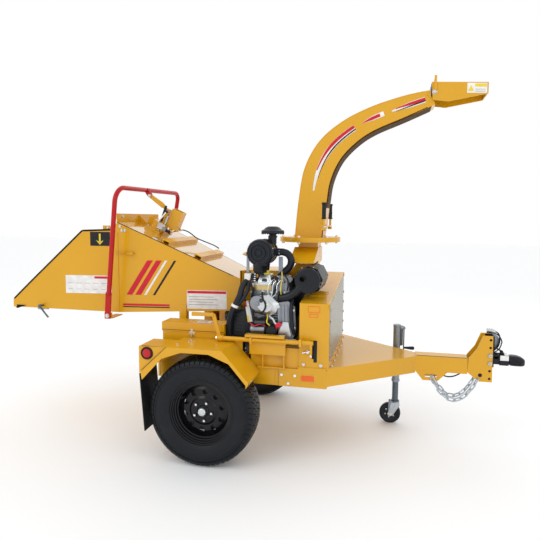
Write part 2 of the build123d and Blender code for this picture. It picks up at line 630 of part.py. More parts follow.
def muffler():
    can = rod_y(77, -460, -142, 586, 1114)
    pipe = tube([(404, -452, 1005), (480, -452, 1005), (552, -440, 1075)], [60], 25)
    can -= rod_y(15, -465, -430, 556, 1124)
    return can + pipe - block(215, 470, -430, -265, 930, 1050)


def radiator():
    core = block(592, 642, -430, 360, 600, 950)
    for y in (-445, 360):
        core += block(585, 650, y, y + 15, 590, 960)
    return core


def radiator_box():
    """Sheet casing across the deck: open to the engine, with a window for the screen."""
    x0, x1, near, far = 548, 729, -RAIL_Y, 427
    outline = [(near, DECK_Z), (near, 981), (far, 1086), (far, DECK_Z)]
    hollow = [(near + 4, DECK_Z - 5), (near + 4, 977), (far - 4, 1081), (far - 4, DECK_Z - 5)]
    body = prism_yz(outline, x0, x1) - prism_yz(hollow, x0 - 1, x1 - 4)
    body -= prism_yz([(near + 45, 640), (near + 45, 960), (far - 45, 1045), (far - 45, 640)],
                     x1 - 10, x1 + 5)
    return body - block(616, 640, near - 1, near + 5, 640, 755)


def radiator_screen():
    """Punched screen over the window, with its screws."""
    outline = [(-470, 620), (-470, 972), (400, 1070), (400, 620)]
    screen = prism_yz(outline, 729, 732)
    solids = [screen]
    for k in range(5):
        for y in (-462, 390):
            solids.append(bolt(732, y, 640 + 75 * k, (1, 0, 0), 8, 5))
    return solids


# ---------------------------------------------------------------- discharge chute
OUTER_CURVE = [(438, 1368), (462, 1620), (500, 1830), (594, 2000), (740, 2122), (922, 2209),
               (1120, 2268), (1288, 2299)]
INNER_CURVE = [(624, 1368), (652, 1589), (676, 1742), (740, 1882), (845, 1991), (960, 2063),
               (1140, 2135), (1322, 2212)]


def chute_section(inset, stretch):
    """Side view of the chute; stretch carries the ends past the sheet for the hollow."""
    outer, inner = [], []
    for (xo, zo), (xi, zi) in zip(OUTER_CURVE, INNER_CURVE):
        width = math.hypot(xi - xo, zi - zo)
        step_x, step_z = (xi - xo) / width * inset, (zi - zo) / width * inset
        outer.append(Vector(xo + step_x, 0, zo + step_z))
        inner.append(Vector(xi - step_x, 0, zi - step_z))
    for line in (outer, inner):
        line[0] = line[0] - Vector(0, 0, stretch)
        line[-1] = line[-1] + Vector(stretch, 0, stretch * 0.3)
    left, right = Spline(*outer), Spline(*inner)
    top, base = Line(left @ 1, right @ 1), Line(left @ 0, right @ 0)
    return Face(Wire([left, top, right, base]))


def chute():
    """Curved discharge duct on its turntable plate."""
    shell = extrude(chute_section(0, 0), amount=CHUTE_Y, both=True)
    shell -= extrude(chute_section(SHEET, 12), amount=CHUTE_Y - SHEET, both=True)
    plate = rod_z(RING_R, RING_Z, 1368, CHUTE_X, 0) - block(444, 618, -80, 80, 1340, 1372)
    for k in range(6):
        angle = math.radians(60 * k + 15)
        x, y = CHUTE_X + 185 * math.cos(angle), 185 * math.sin(angle)
        plate += bolt(x, y, 1368, (0, 0, 1), 9, 8)
    ear = prism_xz([(1270, 2270), (1322, 2300), (1332, 2262), (1322, 2230)], -CHUTE_Y - 5, -CHUTE_Y)
    pin = rod_y(6, -CHUTE_Y - 16, -CHUTE_Y - 5, 1315, 2283)
    side = ear + pin
    return shell + plate + side + mirrored(side)


def chute_grips():
    """Handlebar behind the chute with two upright grips, used to turn it."""
    bar = block(622, 656, -30, 30, 1428, 1440) + block(636, 656, -GRIP_Y - 8, GRIP_Y + 8, 1440, 1452)
    bar -= extrude(chute_section(0, 0), amount=CHUTE_Y, both=True)
    grips = []
    for y in (-GRIP_Y, GRIP_Y):
        bar += rod_z(7, 1450, 1490, 646, y)
        grips.append(rod_z(14, 1490.2, 1598, 646, y))
    return [bar] + grips


def deflector():
    """Hinged hood at the chute's mouth, with its adjusting lever."""
    half = CHUTE_Y + 14
    outline = [(1296, 2346), (1630, 2328), (1630, 2260), (1398, 2222), (1306, 2236)]
    cheek = prism_xz(outline, -half, -half + 4) + prism_xz(outline, half - 4, half)
    top = prism_xz([(1296, 2346), (1630, 2328), (1630, 2322), (1296, 2340)], -half, half)
    nose = block(1624, 1630, -half, half, 2262, 2324)
    hood = cheek + top + nose
    hood -= rod_y(6 + FIT, -half - 5, half + 5, 1315, 2283)
    lever = prism_xz([(1314, 2342), (1324, 2342), (1326, 2384), (1316, 2384)], -6, 6)
    return hood + lever


# ---------------------------------------------------------------- jack
def jack_tube():
    """Outer tube of the nose-wheel jack, its bracket on the drawbar and the crank boss."""
    outer = rod_z(JACK_R, 313, 735, JACK_X, JACK_Y) - rod_z(JACK_R - 4, 300, 731, JACK_X, JACK_Y)
    boss = rod_x(14, JACK_X + 20, JACK_X + 48, JACK_Y, 712)
    boss -= rod_x(7 + FIT, JACK_X + 18, JACK_X + 50, JACK_Y, 712)
    slope = math.degrees(math.atan2(RAIL_Y + 6 - BEAM_Y, APEX_X - BEND_X))
    plate = Pos(JACK_X, JACK_Y, 530) * Rot(0, 0, -slope) * Pos(0, -43, 0) * Box(110, 66, 60)
    plate -= rod_z(JACK_R - 1, 300, 735, JACK_X, JACK_Y)
    wall = prism_xy([(BEND_X, RAIL_Y + 6), (APEX_X, BEAM_Y), (APEX_X, -400), (BEND_X, -400)], 470, 590)
    return outer + boss + (plate - wall)


def jack_leg():
    leg = rod_z(JACK_R - 4 - GAP, 172, 560, JACK_X, JACK_Y)
    return leg + rod_z(30, 166, 172, JACK_X, JACK_Y) + rod_z(8, 157, 166, JACK_X, JACK_Y)


def jack_crank():
    shaft = rod_x(7, JACK_X + 28, JACK_X + 66, JACK_Y, 712)
    arm = block(JACK_X + 54, JACK_X + 62, JACK_Y - 11, JACK_Y + 11, 566, 720)
    grip = rod_x(13, JACK_X + 62, JACK_X + 132, JACK_Y, 577)
    return shaft + arm + grip


def caster_fork():
    """Fork that swivels under the jack leg, with the wheel trailing."""
    axle_x = JACK_X - CASTER_TRAIL
    top = prism_xy([(JACK_X + 24, JACK_Y - 26), (JACK_X + 24, JACK_Y + 26), (axle_x, JACK_Y + 26),
                    (axle_x, JACK_Y - 26)], 158, 165.7)
    cheek = prism_xz([(JACK_X + 24, 165.7), (axle_x - 10, 165.7), (axle_x - 14, 76), (axle_x, 62),
                      (axle_x + 14, 68)], JACK_Y - 26, JACK_Y - 22)
    other = Pos(0, 48, 0) * cheek
    pin = rod_y(6, JACK_Y - 30, JACK_Y + 30, axle_x, CASTER_R)
    fork = top + cheek + other + pin
    return fork - rod_z(8 + FIT, 130, 170, JACK_X, JACK_Y)


def caster_wheel():
    axle_x = JACK_X - CASTER_TRAIL
    wheel = rod_y(CASTER_R, JACK_Y - 19, JACK_Y + 19, axle_x, CASTER_R)
    wheel = fillet(wheel.edges().filter_by(GeomType.CIRCLE), 6)
    return wheel - rod_y(6 + FIT, JACK_Y - 30, JACK_Y + 30, axle_x, CASTER_R)


# ---------------------------------------------------------------- chains and cables
def chain_link(position, along, flat):
    """One link of welded chain: two straight sides and two round ends."""
    wire, half, bend = 4, 11, 9
    path = Polyline(Vector(-half, bend, 0), Vector(half, bend, 0))
    end_a = CenterArc((half, 0, 0), bend, 90, -180)
    other = Polyline(Vector(half, -bend, 0), Vector(-half, -bend, 0))
    end_b = CenterArc((-half, 0, 0), bend, 270, -180)
    ring = Wire([path.edge(), end_a.edge(), other.edge(), end_b.edge()])
    section = Plane(origin=(-half, bend, 0), z_dir=(1, 0, 0)) * Circle(wire)
    link = sweep(section, path=ring, transition=Transition.ROUND)
    tilt = math.degrees(math.atan2(along[2], math.hypot(along[0], along[1])))
    return Pos(*position) * Rot(0, -tilt, 0) * Rot(90 if flat else 0, 0, 0) * link


def safety_chains():
    """Chain from the drawbar gusset to the hitch plate, hanging in a shallow curve."""
    start, end, sag, count = Vector(1330, -66, 452), Vector(1664, -66, 474), 150, 15
    links = []
    for k in range(count):
        t = (k + 0.5) / count
        drop = 4 * sag * t * (1 - t)
        slope = -4 * sag * (1 - 2 * t)
        point = start + (end - start) * t - Vector(0, 0, drop)
        along = ((end - start).X, 0, (end - start).Z + slope)
        links.append(chain_link((point.X, point.Y, point.Z), along, k % 2 == 0))
    return links


def cord_radii(points):
    """Largest tangent arcs that the two runs at each corner allow."""
    radii = []
    for before, corner, after in zip(points, points[1:], points[2:]):
        first, second = Vector(*corner) - Vector(*before), Vector(*after) - Vector(*corner)
        turn = math.radians(first.get_angle(second))
        radii.append(0.45 * min(first.length, second.length) / math.tan(turn / 2))
    return radii


def cord(name, points, radius):
    radii = cord_radii(points)
    solid = tube(points, radii, radius)
    path = FilletPolyline(*[Vector(*p) for p in points], radius=radii)
    ratio = solid.volume / (math.pi * radius ** 2 * path.length)
    print(name, "length", round(path.length), "radii", [round(r) for r in radii], "volume", round(ratio, 3))
    return solid


def light_cable_route():
    """Out of the beam's underside, up past the far hitch plate, and round to the plug."""
    return [(1430, 0, 487.2), (1431, 3, 464), (1446, 12, 448), (1474, 26, 438), (1508, 42, 438),
            (1542, 58, 448), (1572, 70, 468), (1600, 78, 496), (1628, 80, 526), (1660, 80, 554),
            (1700, 80, 580), (1740, 78, 604), (1776, 74, 634), (1794, 67, 670), (1796, 58, 704),
            (1790, 50, 738), (1770, 46, 760), (1736, 46, 766)]


def light_plug():
    """Trailer plug parked on top of the hitch plates."""
    return rod_x(17, 1680, 1718, 46, 766) + rod_x(12, 1718, 1735, 46, 766)


def main():
    os.makedirs("parts", exist_ok=True)
    wheel, wheel_rim = tyre(), rim()
    save("tyre_near", wheel)
    save("tyre_far", mirrored(wheel))
    save("rim_near", wheel_rim)
    save("rim_far", [mirrored(solid) for solid in wheel_rim])
    save("axle", axle())
    save("fenders", both_sides(fender()))
    parts = (lamps, mud_flaps, side_rails, cross_members, tongue_frame, tongue_beam, hitch_plates,
             coupler, coupler_latch, frame_bolts, clutch_lever, battery_box,
             battery_lid, hopper, hopper_posts, infeed_apron, apron_pin, control_bar, control_link,
             control_tower, control_valve, feed_housing, roller_yoke, feed_roller, bed_knife,
             disc_housing, cutter_disc, disc_knives, disc_bearings, engine_pulley, drive_belts,
             belt_guard, engine_block, cylinder_head, alternator, air_cleaner,
             precleaner, intake_hose, muffler, radiator, radiator_box, radiator_screen, chute,
             chute_grips, deflector, jack_tube, jack_leg, jack_crank, caster_fork, caster_wheel,
             safety_chains, light_plug)
    for make in parts:
        save(make.__name__, make())
    save("valve_hose", cord("valve_hose", valve_hose_route(), 4))
    save("light_cable", cord("light_cable", light_cable_route(), 4.5))


main()
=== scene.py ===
from math import cos, pi, radians, sin, tau
import bmesh
import bpy
from mathutils import Matrix, Vector


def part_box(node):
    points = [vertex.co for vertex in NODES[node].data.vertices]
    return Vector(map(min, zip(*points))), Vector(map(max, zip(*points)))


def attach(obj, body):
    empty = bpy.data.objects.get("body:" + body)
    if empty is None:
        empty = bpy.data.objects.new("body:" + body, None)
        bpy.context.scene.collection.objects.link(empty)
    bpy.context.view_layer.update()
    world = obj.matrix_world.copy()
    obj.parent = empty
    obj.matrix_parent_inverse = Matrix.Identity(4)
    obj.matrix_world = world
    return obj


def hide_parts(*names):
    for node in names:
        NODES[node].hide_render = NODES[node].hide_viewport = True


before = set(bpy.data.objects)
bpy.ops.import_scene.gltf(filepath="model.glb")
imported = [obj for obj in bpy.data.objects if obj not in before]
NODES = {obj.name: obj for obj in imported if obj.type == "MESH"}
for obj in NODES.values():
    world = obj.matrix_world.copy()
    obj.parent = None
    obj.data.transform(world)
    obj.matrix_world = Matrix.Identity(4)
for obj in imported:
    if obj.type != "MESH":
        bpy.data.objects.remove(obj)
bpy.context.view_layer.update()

# ---- the frame's own places
# Millimetres below are counted from the axle line (X), the middle (Y) and the ground (Z).
tyre_low, tyre_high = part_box("tyre_near")
AXLE = (tyre_low.x + tyre_high.x) / 2
WHEEL_Y = (tyre_low.y + tyre_high.y) * 500
TYRE_R = (tyre_high.z - tyre_low.z) * 500
MM = 0.001
X_AXIS, Y_AXIS, Z_AXIS = Vector((1, 0, 0)), Vector((0, 1, 0)), Vector((0, 0, 1))
SHARP = radians(38)


def vec(x, y, z):
    return Vector((x, y, z))


def place(x, y, z):
    """Point in the row frame, in metres, of a point in millimetres from axle and ground."""
    return vec(AXLE + x * MM, y * MM, z * MM)


# ---- materials
class Shader:
    """Node tree of one material, with the few node patterns that all of them use."""

    def __init__(self, name, roughness=0.5, metallic=0.0, coat=0.0, coat_roughness=0.1, ior=1.5):
        self.material = bpy.data.materials.new(name)
        self.material.use_nodes = True
        self.tree = self.material.node_tree
        self.tree.nodes.clear()
        out = self.add("OutputMaterial")
        self.main = self.add("BsdfPrincipled", {
            "Roughness": roughness, "Metallic": metallic, "Coat Weight": coat,
            "Coat Roughness": coat_roughness, "IOR": ior})
        self.link(self.main.outputs[0], out.inputs["Surface"])
        self.where = self.add("TexCoord").outputs["Object"]
        self.height = None

    def add(self, kind, values=None):
        """New node of a kind, with the values of its inputs."""
        node = self.tree.nodes.new("ShaderNode" + kind)
        for key, value in (values or {}).items():
            node.inputs[key].default_value = value
        return node

    def link(self, output, socket):
        self.tree.links.new(output, socket)

    def noise(self, scale, detail=4.0, stretch=None):
        node = self.add("TexNoise", {"Scale": scale, "Detail": detail})
        where = self.where
        if stretch:
            mapping = self.add("Mapping", {"Scale": stretch})
            self.link(where, mapping.inputs["Vector"])
            where = mapping.outputs[0]
        self.link(where, node.inputs["Vector"])
        return node.outputs["Fac"]

    def ramp(self, source, stops):
        node = self.add("ValToRGB")
        ramp = node.color_ramp
        while len(ramp.elements) < len(stops):
            ramp.elements.new(0.5)
        for element, (position, value) in zip(ramp.elements, stops):
            element.position = position
            element.color = (*value, 1) if len(value) == 3 else value
        self.link(source, node.inputs["Fac"])
        return node.outputs["Color"]

    def mix(self, factor, first, second):
        node = self.add("Mix")
        node.data_type = "RGBA"
        self.link(factor, node.inputs["Factor"])
        for value, socket in ((first, node.inputs[6]), (second, node.inputs[7])):
            if hasattr(value, "links"):
                self.link(value, socket)
            else:
                socket.default_value = (*value, 1)
        return node.outputs[2]

    def span(self, source, low, high):
        """Number that runs from low to high with the source."""
        node = self.add("MapRange", {"To Min": low, "To Max": high})
        self.link(source, node.inputs["Value"])
        return node.outputs[0]

    def colour(self, output):
        self.link(output, self.main.inputs["Base Color"])

    def rough(self, source, low, high):
        self.link(self.span(source, low, high), self.main.inputs["Roughness"])

    def bump(self, source, distance, strength=0.4):
        node = self.add("Bump", {"Strength": strength, "Distance": distance})
        self.link(source, node.inputs["Height"])
        if self.height:
            self.link(self.height, node.inputs["Normal"])
        self.height = node.outputs[0]
        self.link(self.height, self.main.inputs["Normal"])


def shade(colour, factor):
    return tuple(min(1.0, c * factor) for c in colour)


def painted(name, colour, roughness=0.20, coat=0.0, dust=0.0, ior=1.5):
    """Sprayed gloss paint: orange peel, uneven film, faint dust in the hollows of the noise."""
    s = Shader(name, roughness, 0.0, coat, 0.06, ior)
    patches = s.noise(2.6, 5)
    tone = s.mix(patches, shade(colour, 0.93), shade(colour, 1.05))
    specks = s.ramp(s.noise(310, 2), [(0.70, (0, 0, 0)), (0.74, (0.5, 0.5, 0.5))])
    s.colour(s.mix(specks, tone, shade(colour, 0.80)))
    s.rough(s.noise(14, 6), roughness - 0.06, roughness + 0.10 + dust)
    s.bump(s.noise(420, 2), 0.0004, 0.10)
    s.bump(s.noise(22, 3), 0.0015, 0.05)
    return s.material


def galvanised(name, colour, bright=1.0):
    """Zinc coat: pale spangles, dull streaks."""
    s = Shader(name, 0.38, 0.85)
    cells = s.add("TexVoronoi", {"Scale": 160})
    s.link(s.where, cells.inputs["Vector"])
    flake = s.ramp(cells.outputs["Color"], [(0.2, shade(colour, 0.80 * bright)),
                                            (0.8, shade(colour, 1.12 * bright))])
    s.colour(s.mix(s.noise(9, 5), flake, shade(colour, 0.92 * bright)))
    s.rough(s.noise(60, 4), 0.28, 0.52)
    s.bump(s.noise(240, 3), 0.0006, 0.2)
    return s.material


def metal(name, colour, low, high, grain, stretch=None, depth=0.0005):
    """Bare steel, plated steel or cast alloy, by its colour, gloss and grain."""
    s = Shader(name, low, 1.0)
    s.colour(s.mix(s.noise(grain * 0.3, 5, stretch), shade(colour, 0.82), shade(colour, 1.1)))
    s.rough(s.noise(grain, 5, stretch), low, high)
    s.bump(s.noise(grain * 3, 3, stretch), depth, 0.25)
    return s.material


def plastic(name, colour, low, high, grain, depth, dust):
    """Moulded plastic or rubber: fine grain, worn and dusty patches."""
    s = Shader(name, low, ior=1.35)
    tone = s.mix(s.noise(30, 5), shade(colour, 0.75), shade(colour, 1.25))
    dusty = s.ramp(s.noise(12, 6), [(0.52, (0, 0, 0)), (0.75, (dust, dust, dust))])
    s.colour(s.mix(dusty, tone, (0.20, 0.19, 0.17)))
    s.rough(s.noise(45, 4), low, high)
    s.bump(s.noise(grain, 3), depth, 0.35)
    return s.material


YELLOW = (0.68, 0.345, 0.006)
PAINT = painted("yellow_paint", YELLOW)
PAINT_TOP = painted("deck_paint", shade(YELLOW, 0.98), 0.16)
RED = painted("red_paint", (0.46, 0.008, 0.010), 0.22, ior=1.35)
BLACK_PAINT = painted("black_paint", (0.007, 0.009, 0.013), 0.26, 0.0, 0.08, 1.36)
WHEEL_BLACK = painted("wheel_black", (0.004, 0.004, 0.006), 0.14, ior=1.36)
ZINC = galvanised("zinc", (0.30, 0.34, 0.39))
# Dark brownish yellow of painted shade: the chute's shadowed underside and the weld along its inner curve.
CHUTE_SHADE_PAINT = painted("chute_shade_paint", (0.065, 0.027, 0.001), 0.60, ior=1.2)
DARK_ZINC = galvanised("dark_zinc", (0.12, 0.15, 0.18))
CHAIN_ZINC = galvanised("chain_zinc", (0.50, 0.55, 0.60), 1.1)
PLATED = metal("plated_fasteners", (0.72, 0.71, 0.66), 0.16, 0.34, 140)
STEEL = metal("worn_steel", (0.42, 0.41, 0.40), 0.30, 0.55, 60, (1, 1, 6))
CHROME = metal("chrome", (0.86, 0.87, 0.89), 0.04, 0.14, 60, None, 0.0001)
ALLOY = metal("cast_alloy", (0.30, 0.32, 0.35), 0.30, 0.55, 150, None, 0.0014)
BRIGHT_ALLOY = metal("bright_alloy", (0.62, 0.65, 0.67), 0.20, 0.40, 110, None, 0.0008)
IRON = metal("grey_iron", (0.08, 0.085, 0.09), 0.40, 0.64, 130, None, 0.0016)
BRASS = metal("passivated_brass", (0.62, 0.47, 0.20), 0.22, 0.45, 90)
RUBBER = plastic("black_rubber", (0.009, 0.010, 0.012), 0.42, 0.66, 220, 0.0006, 0.04)
TYRE_RUBBER = plastic("tyre_rubber", (0.003, 0.005, 0.008), 0.34, 0.56, 300, 0.0008, 0.02)
# Matte black of the painted shade lines on the hopper's edges.
MATTE_BLACK = plastic("matte_black", (0.003, 0.003, 0.003), 0.75, 0.90, 200, 0.0003, 0.0)
HOSE = plastic("hose_rubber", (0.010, 0.013, 0.020), 0.28, 0.44, 200, 0.0003, 0.02)
BLACK_PLASTIC = plastic("black_plastic", (0.009, 0.012, 0.018), 0.28, 0.44, 340, 0.0004, 0.02)
WHITE = plastic("white_vinyl", (0.78, 0.77, 0.75), 0.30, 0.42, 300, 0.0001, 0.04)
GREY_PRINT = plastic("grey_print", (0.20, 0.20, 0.22), 0.32, 0.45, 300, 0.0001, 0.02)
BLACK_PRINT = plastic("black_print", (0.012, 0.012, 0.014), 0.25, 0.38, 300, 0.0001, 0.02)
RED_PRINT = plastic("red_print", (0.58, 0.012, 0.030), 0.28, 0.40, 300, 0.0001, 0.02)
YELLOW_PRINT = plastic("yellow_print", (0.80, 0.62, 0.05), 0.28, 0.40, 300, 0.0001, 0.02)
RED_CABLE = plastic("red_cable", (0.62, 0.02, 0.05), 0.32, 0.45, 200, 0.0003, 0.02)
MOTOR_GREEN = painted("motor_green", (0.045, 0.075, 0.060), 0.40, 0.2)


def lens(name, colour, pitch):
    """Moulded lamp lens: fine prisms under a gloss face."""
    s = Shader(name, 0.10, 0.0, 0.2, 0.04, 1.4)
    wave = s.add("TexWave", {"Scale": pitch})
    s.link(s.where, wave.inputs["Vector"])
    s.colour(s.mix(wave.outputs["Fac"], shade(colour, 0.7), shade(colour, 1.2)))
    s.bump(wave.outputs["Fac"], 0.0008, 0.5)
    return s.material


RED_LENS = lens("red_lens", (0.50, 0.004, 0.006), 90)
AMBER = lens("amber_reflector", (0.90, 0.13, 0.012), 130)


# ---- mesh tools
def across(direction):
    """Two unit vectors square to a direction and to each other."""
    along = Vector(direction).normalized()
    side = along.cross(Z_AXIS) if abs(along.z) < 0.9 else along.cross(X_AXIS)
    side.normalize()
    return side, along.cross(side)


def ring(centre, direction, radius, steps):
    side, up = across(direction)
    angles = [tau * k / steps for k in range(steps)]
    return [Vector(centre) + radius * (cos(a) * side + sin(a) * up) for a in angles]


def rows(start, step, count):
    return [start + step * k for k in range(count)]


def smooth(points, steps=6):
    """Curved line through points, for a moulded or clipped hose."""
    p = [Vector(q) for q in points]
    p = [2 * p[0] - p[1]] + p + [2 * p[-1] - p[-2]]
    path = []
    for a, b, c, d in zip(p, p[1:], p[2:], p[3:]):
        for k in range(steps):
            t = k / steps
            path.append(0.5 * (2 * b + (c - a) * t + (2 * a - 5 * b + 4 * c - d) * t * t
                               + (3 * b - a - 3 * c + d) * t ** 3))
    path.append(p[-2])
    return path


class Build:
    """One piece: solids gathered in one mesh, in millimetres from axle and ground."""

    def __init__(self, name, material=None):
        self.name, self.bm, self.materials = name, bmesh.new(), []
        self.material = material

    def paint(self, faces, material):
        material = material or self.material
        if material not in self.materials:
            self.materials.append(material)
        for face in faces:
            face.material_index = self.materials.index(material)

    def loft(self, rings, material=None, closed=False):
        """Skin over rings of equal count, with flat ends or joined into a loop."""
        loops = [[self.bm.verts.new(p) for p in points] for points in rings]
        pairs = list(zip(loops, loops[1:])) + ([(loops[-1], loops[0])] if closed else [])
        faces = []
        for first, second in pairs:
            for k in range(len(first)):
                n = (k + 1) % len(first)
                faces.append(self.bm.faces.new((first[k], first[n], second[n], second[k])))
        if not closed:
            faces.append(self.bm.faces.new(loops[0][::-1]))
            faces.append(self.bm.faces.new(loops[-1]))
        self.paint(faces, material)
        return self

    def prism(self, outline, axis, low, high, material=None):
        """Outline in the plane across axis 0, 1 or 2, from low to high along it."""
        rings = []
        for value in (low, high):
            rings.append([Vector(p[:axis] + (value,) + p[axis:]) for p in map(tuple, outline)])
        return self.loft(rings, material)

    def box(self, x0, x1, y0, y1, z0, z1, material=None):
        return self.prism([(y0, z0), (y1, z0), (y1, z1), (y0, z1)], 0, x0, x1, material)

    def plate(self, points, y, thickness, material=None):
        """Flat plate outwards from y, by its corners in the plane across Y."""
        return self.slab([(x, y, z) for x, z in points], (0, 1 if y > 0 else -1, 0), thickness, material)

    def boxes(self, *limits, material=None):
        for row in limits:
            self.box(*row, material)

    def slab(self, corners, direction, thickness, material=None):
        """Flat plate on corners in space."""
        shift = Vector(direction).normalized() * thickness
        return self.loft([[Vector(c) for c in corners], [Vector(c) + shift for c in corners]], material)

    def lathe(self, profile, centre, axis, material=None, steps=48, closed=False):
        """Profile of (radius, distance along the axis), turned about the axis."""
        axis = Vector(axis).normalized()
        rings = [ring(Vector(centre) + axis * d, axis, max(r, 0.01), steps) for r, d in profile]
        return self.loft(rings, material, closed)

    def rod(self, start, end, radius, material=None, steps=20, chamfer=0.0):
        start, end = Vector(start), Vector(end)
        length = (end - start).length
        c = min(chamfer, length / 3)
        profile = [(radius - c, 0), (radius, c), (radius, length - c), (radius - c, length)]
        if not c:
            profile = [(radius, 0), (radius, length)]
        return self.lathe(profile, start, end - start, material, steps)

    def hose(self, path, radius, material=None, steps=14, ribs=0.0, pitch=2):
        """Round section carried along a path; ribs makes every other ring stand proud."""
        path = [Vector(p) for p in path]
        side, up = across(path[1] - path[0])
        rings = []
        for k, point in enumerate(path):
            along = (path[min(k + 1, len(path) - 1)] - path[max(k - 1, 0)]).normalized()
            side = (side - along * side.dot(along)).normalized()
            up = along.cross(side)
            r = radius + (ribs if k % pitch == 0 else 0.0)
            circle = [tau * n / steps for n in range(steps)]
            rings.append([point + r * (cos(a) * side + sin(a) * up) for a in circle])
        return self.loft(rings, material)

    def flow(self, points, radius, material=None, steps=14, bends=6):
        """Hose on a curved line through the points."""
        return self.hose(smooth(points, bends), radius, material, steps)

    def bolt(self, at, direction, radius, height, material=None):
        """Hexagon head on its washer, chamfered on top."""
        at, direction = Vector(at), Vector(direction).normalized()
        material = material or PLATED
        base = height * 0.25
        self.lathe([(radius * 1.35, 0), (radius * 1.35, base)], at, direction, material, 20)
        levels = ((1.0, base), (1.0, base + height * 0.8), (0.86, base + height))
        self.loft([ring(at + direction * d, direction, radius * r, 6) for r, d in levels], material)
        return self

    def near_bolts(self, y, radius, height, *places):
        """Bolts on a face square to Y that looks to the near side, at places (x, z)."""
        for x, z in places:
            self.bolt((x, y, z), -Y_AXIS, radius, height)

    def bolts(self, places, direction, radius, height):
        for at in places:
            self.bolt(at, direction, radius, height)

    def done(self, slot=None, body="chassis", replaces=(), bevel=0.0, segments=2):
        """The finished object, in metres in the row frame, riding on a body."""
        bm = self.bm
        bmesh.ops.remove_doubles(bm, verts=bm.verts, dist=0.02)
        bmesh.ops.recalc_face_normals(bm, faces=bm.faces)
        bm.transform(Matrix.Translation((AXLE, 0, 0)) @ Matrix.Scale(MM, 4))
        mesh = bpy.data.meshes.new(self.name)
        bm.to_mesh(mesh)
        bm.free()
        for material in self.materials:
            mesh.materials.append(material)
        mesh.shade_smooth()
        mesh.set_sharp_from_angle(angle=SHARP)
        piece = bpy.data.objects.new(self.name, mesh)
        bpy.context.scene.collection.objects.link(piece)
        if bevel:
            soften(piece, bevel, segments)
        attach(piece, body)
        if replaces:
            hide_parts(*replaces)
        return piece


def soften(piece, width, segments=2):
    """Rounds the sharp edges, as pressed and cut parts have them."""
    bevel = piece.modifiers.new("edges", "BEVEL")
    bevel.width = width * MM
    bevel.segments = segments
    bevel.limit_method = "ANGLE"
    bevel.angle_limit = SHARP
    bevel.harden_normals = True
    bevel.use_clamp_overlap = True


def carve(piece, tools):
    """Cuts holes into a piece with other pieces, which are then gone."""
    for tool in tools:
        cut = piece.modifiers.new("cut", "BOOLEAN")
        cut.operation = "DIFFERENCE"
        cut.solver = "EXACT"
        cut.object = tool
    bpy.context.view_layer.update()
    evaluated = piece.evaluated_get(bpy.context.evaluated_depsgraph_get())
    mesh = bpy.data.meshes.new_from_object(evaluated)
    piece.modifiers.clear()
    piece.data = mesh
    mesh.set_sharp_from_angle(angle=SHARP)
    for tool in tools:
        bpy.data.objects.remove(tool)
    return piece


# ---- camera, floor and light
CAMERA_AT, CAMERA_LENS = (0.8709, -3.6009, 1.4903), 34.93
CAMERA_TURN = (13.078, 5.595, 0.377)    # yaw, pitch and roll in degrees


def make_camera():
    """Level machine seen from its near side, a little ahead of the middle."""
    yaw, pitch, roll = (radians(a) for a in CAMERA_TURN)
    ahead = vec(-sin(yaw) * cos(pitch), cos(yaw) * cos(pitch), -sin(pitch))
    level = vec(cos(yaw), sin(yaw), 0)
    above = level.cross(ahead)
    right = level * cos(roll) + above * sin(roll)
    up = above * cos(roll) - level * sin(roll)
    data = bpy.data.cameras.new("camera")
    data.lens, data.sensor_width = CAMERA_LENS, 36.0
    camera = bpy.data.objects.new("camera", data)
    turn = Matrix((right, up, -ahead)).transposed().to_4x4()
    camera.matrix_world = Matrix.Translation(CAMERA_AT) @ turn
    bpy.context.scene.collection.objects.link(camera)
    bpy.context.scene.camera = camera


def make_floor():
    """Plain pale floor."""
    s = Shader("pale_floor", 0.75)
    s.colour(s.mix(s.noise(1.4, 3), (0.955, 0.965, 0.975), (0.975, 0.985, 0.99)))
    mesh = bpy.data.meshes.new("floor")
    half = 30.0
    corners = [(-half, -half, 0), (half, -half, 0), (half, half, 0), (-half, half, 0)]
    mesh.from_pydata(corners, [], [(0, 1, 2, 3)])
    mesh.materials.append(s.material)
    floor = bpy.data.objects.new("floor", mesh)
    bpy.context.scene.collection.objects.link(floor)


def area_light(name, at, target, size, power):
    data = bpy.data.lights.new(name, "AREA")
    data.shape, data.size, data.energy = "SQUARE", size, power
    light = bpy.data.objects.new(name, data)
    light.location = at
    light.rotation_euler = (Vector(target) - Vector(at)).to_track_quat("-Z", "Y").to_euler()
    bpy.context.scene.collection.objects.link(light)


def make_light():
    """Even white surround with three soft lamps."""
    world = bpy.data.worlds.new("studio")
    world.use_nodes = True
    sky = world.node_tree.nodes["Background"]
    sky.inputs["Color"].default_value = (1, 1, 1, 1)
    sky.inputs["Strength"].default_value = 1.0
    bpy.context.scene.world = world
    bpy.context.scene.view_settings.view_transform = "Standard"
    area_light("key", (-3.5, -5.5, 5.0), (0, 0, 0.9), 3.5, 70)
    area_light("fill", (5.0, -4.5, 2.6), (0.3, 0, 0.9), 3.0, 25)
    area_light("back", (1.5, 5.0, 4.5), (0, 0, 1.0), 3.5, 30)


make_camera()
make_floor()
make_light()


# ---- hanging cords
def cord(name, route, radius, replaces):
    """NURBS line on the same listed points as the route in the design."""
    curve = bpy.data.curves.new(name, "CURVE")
    curve.dimensions = "3D"
    curve.bevel_depth = radius * MM
    curve.bevel_resolution = 4
    curve.use_fill_caps = True
    spline = curve.splines.new("NURBS")
    spline.points.add(len(route) - 1)
    for point, at in zip(spline.points, route):
        point.co = (*place(*at), 1)
    spline.order_u = 3
    spline.use_endpoint_u = True
    spline.resolution_u = 8
    curve.materials.append(RUBBER)
    piece = bpy.data.objects.new(name, curve)
    bpy.context.scene.collection.objects.link(piece)
    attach(piece, "chassis")
    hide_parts(*replaces)
    return piece


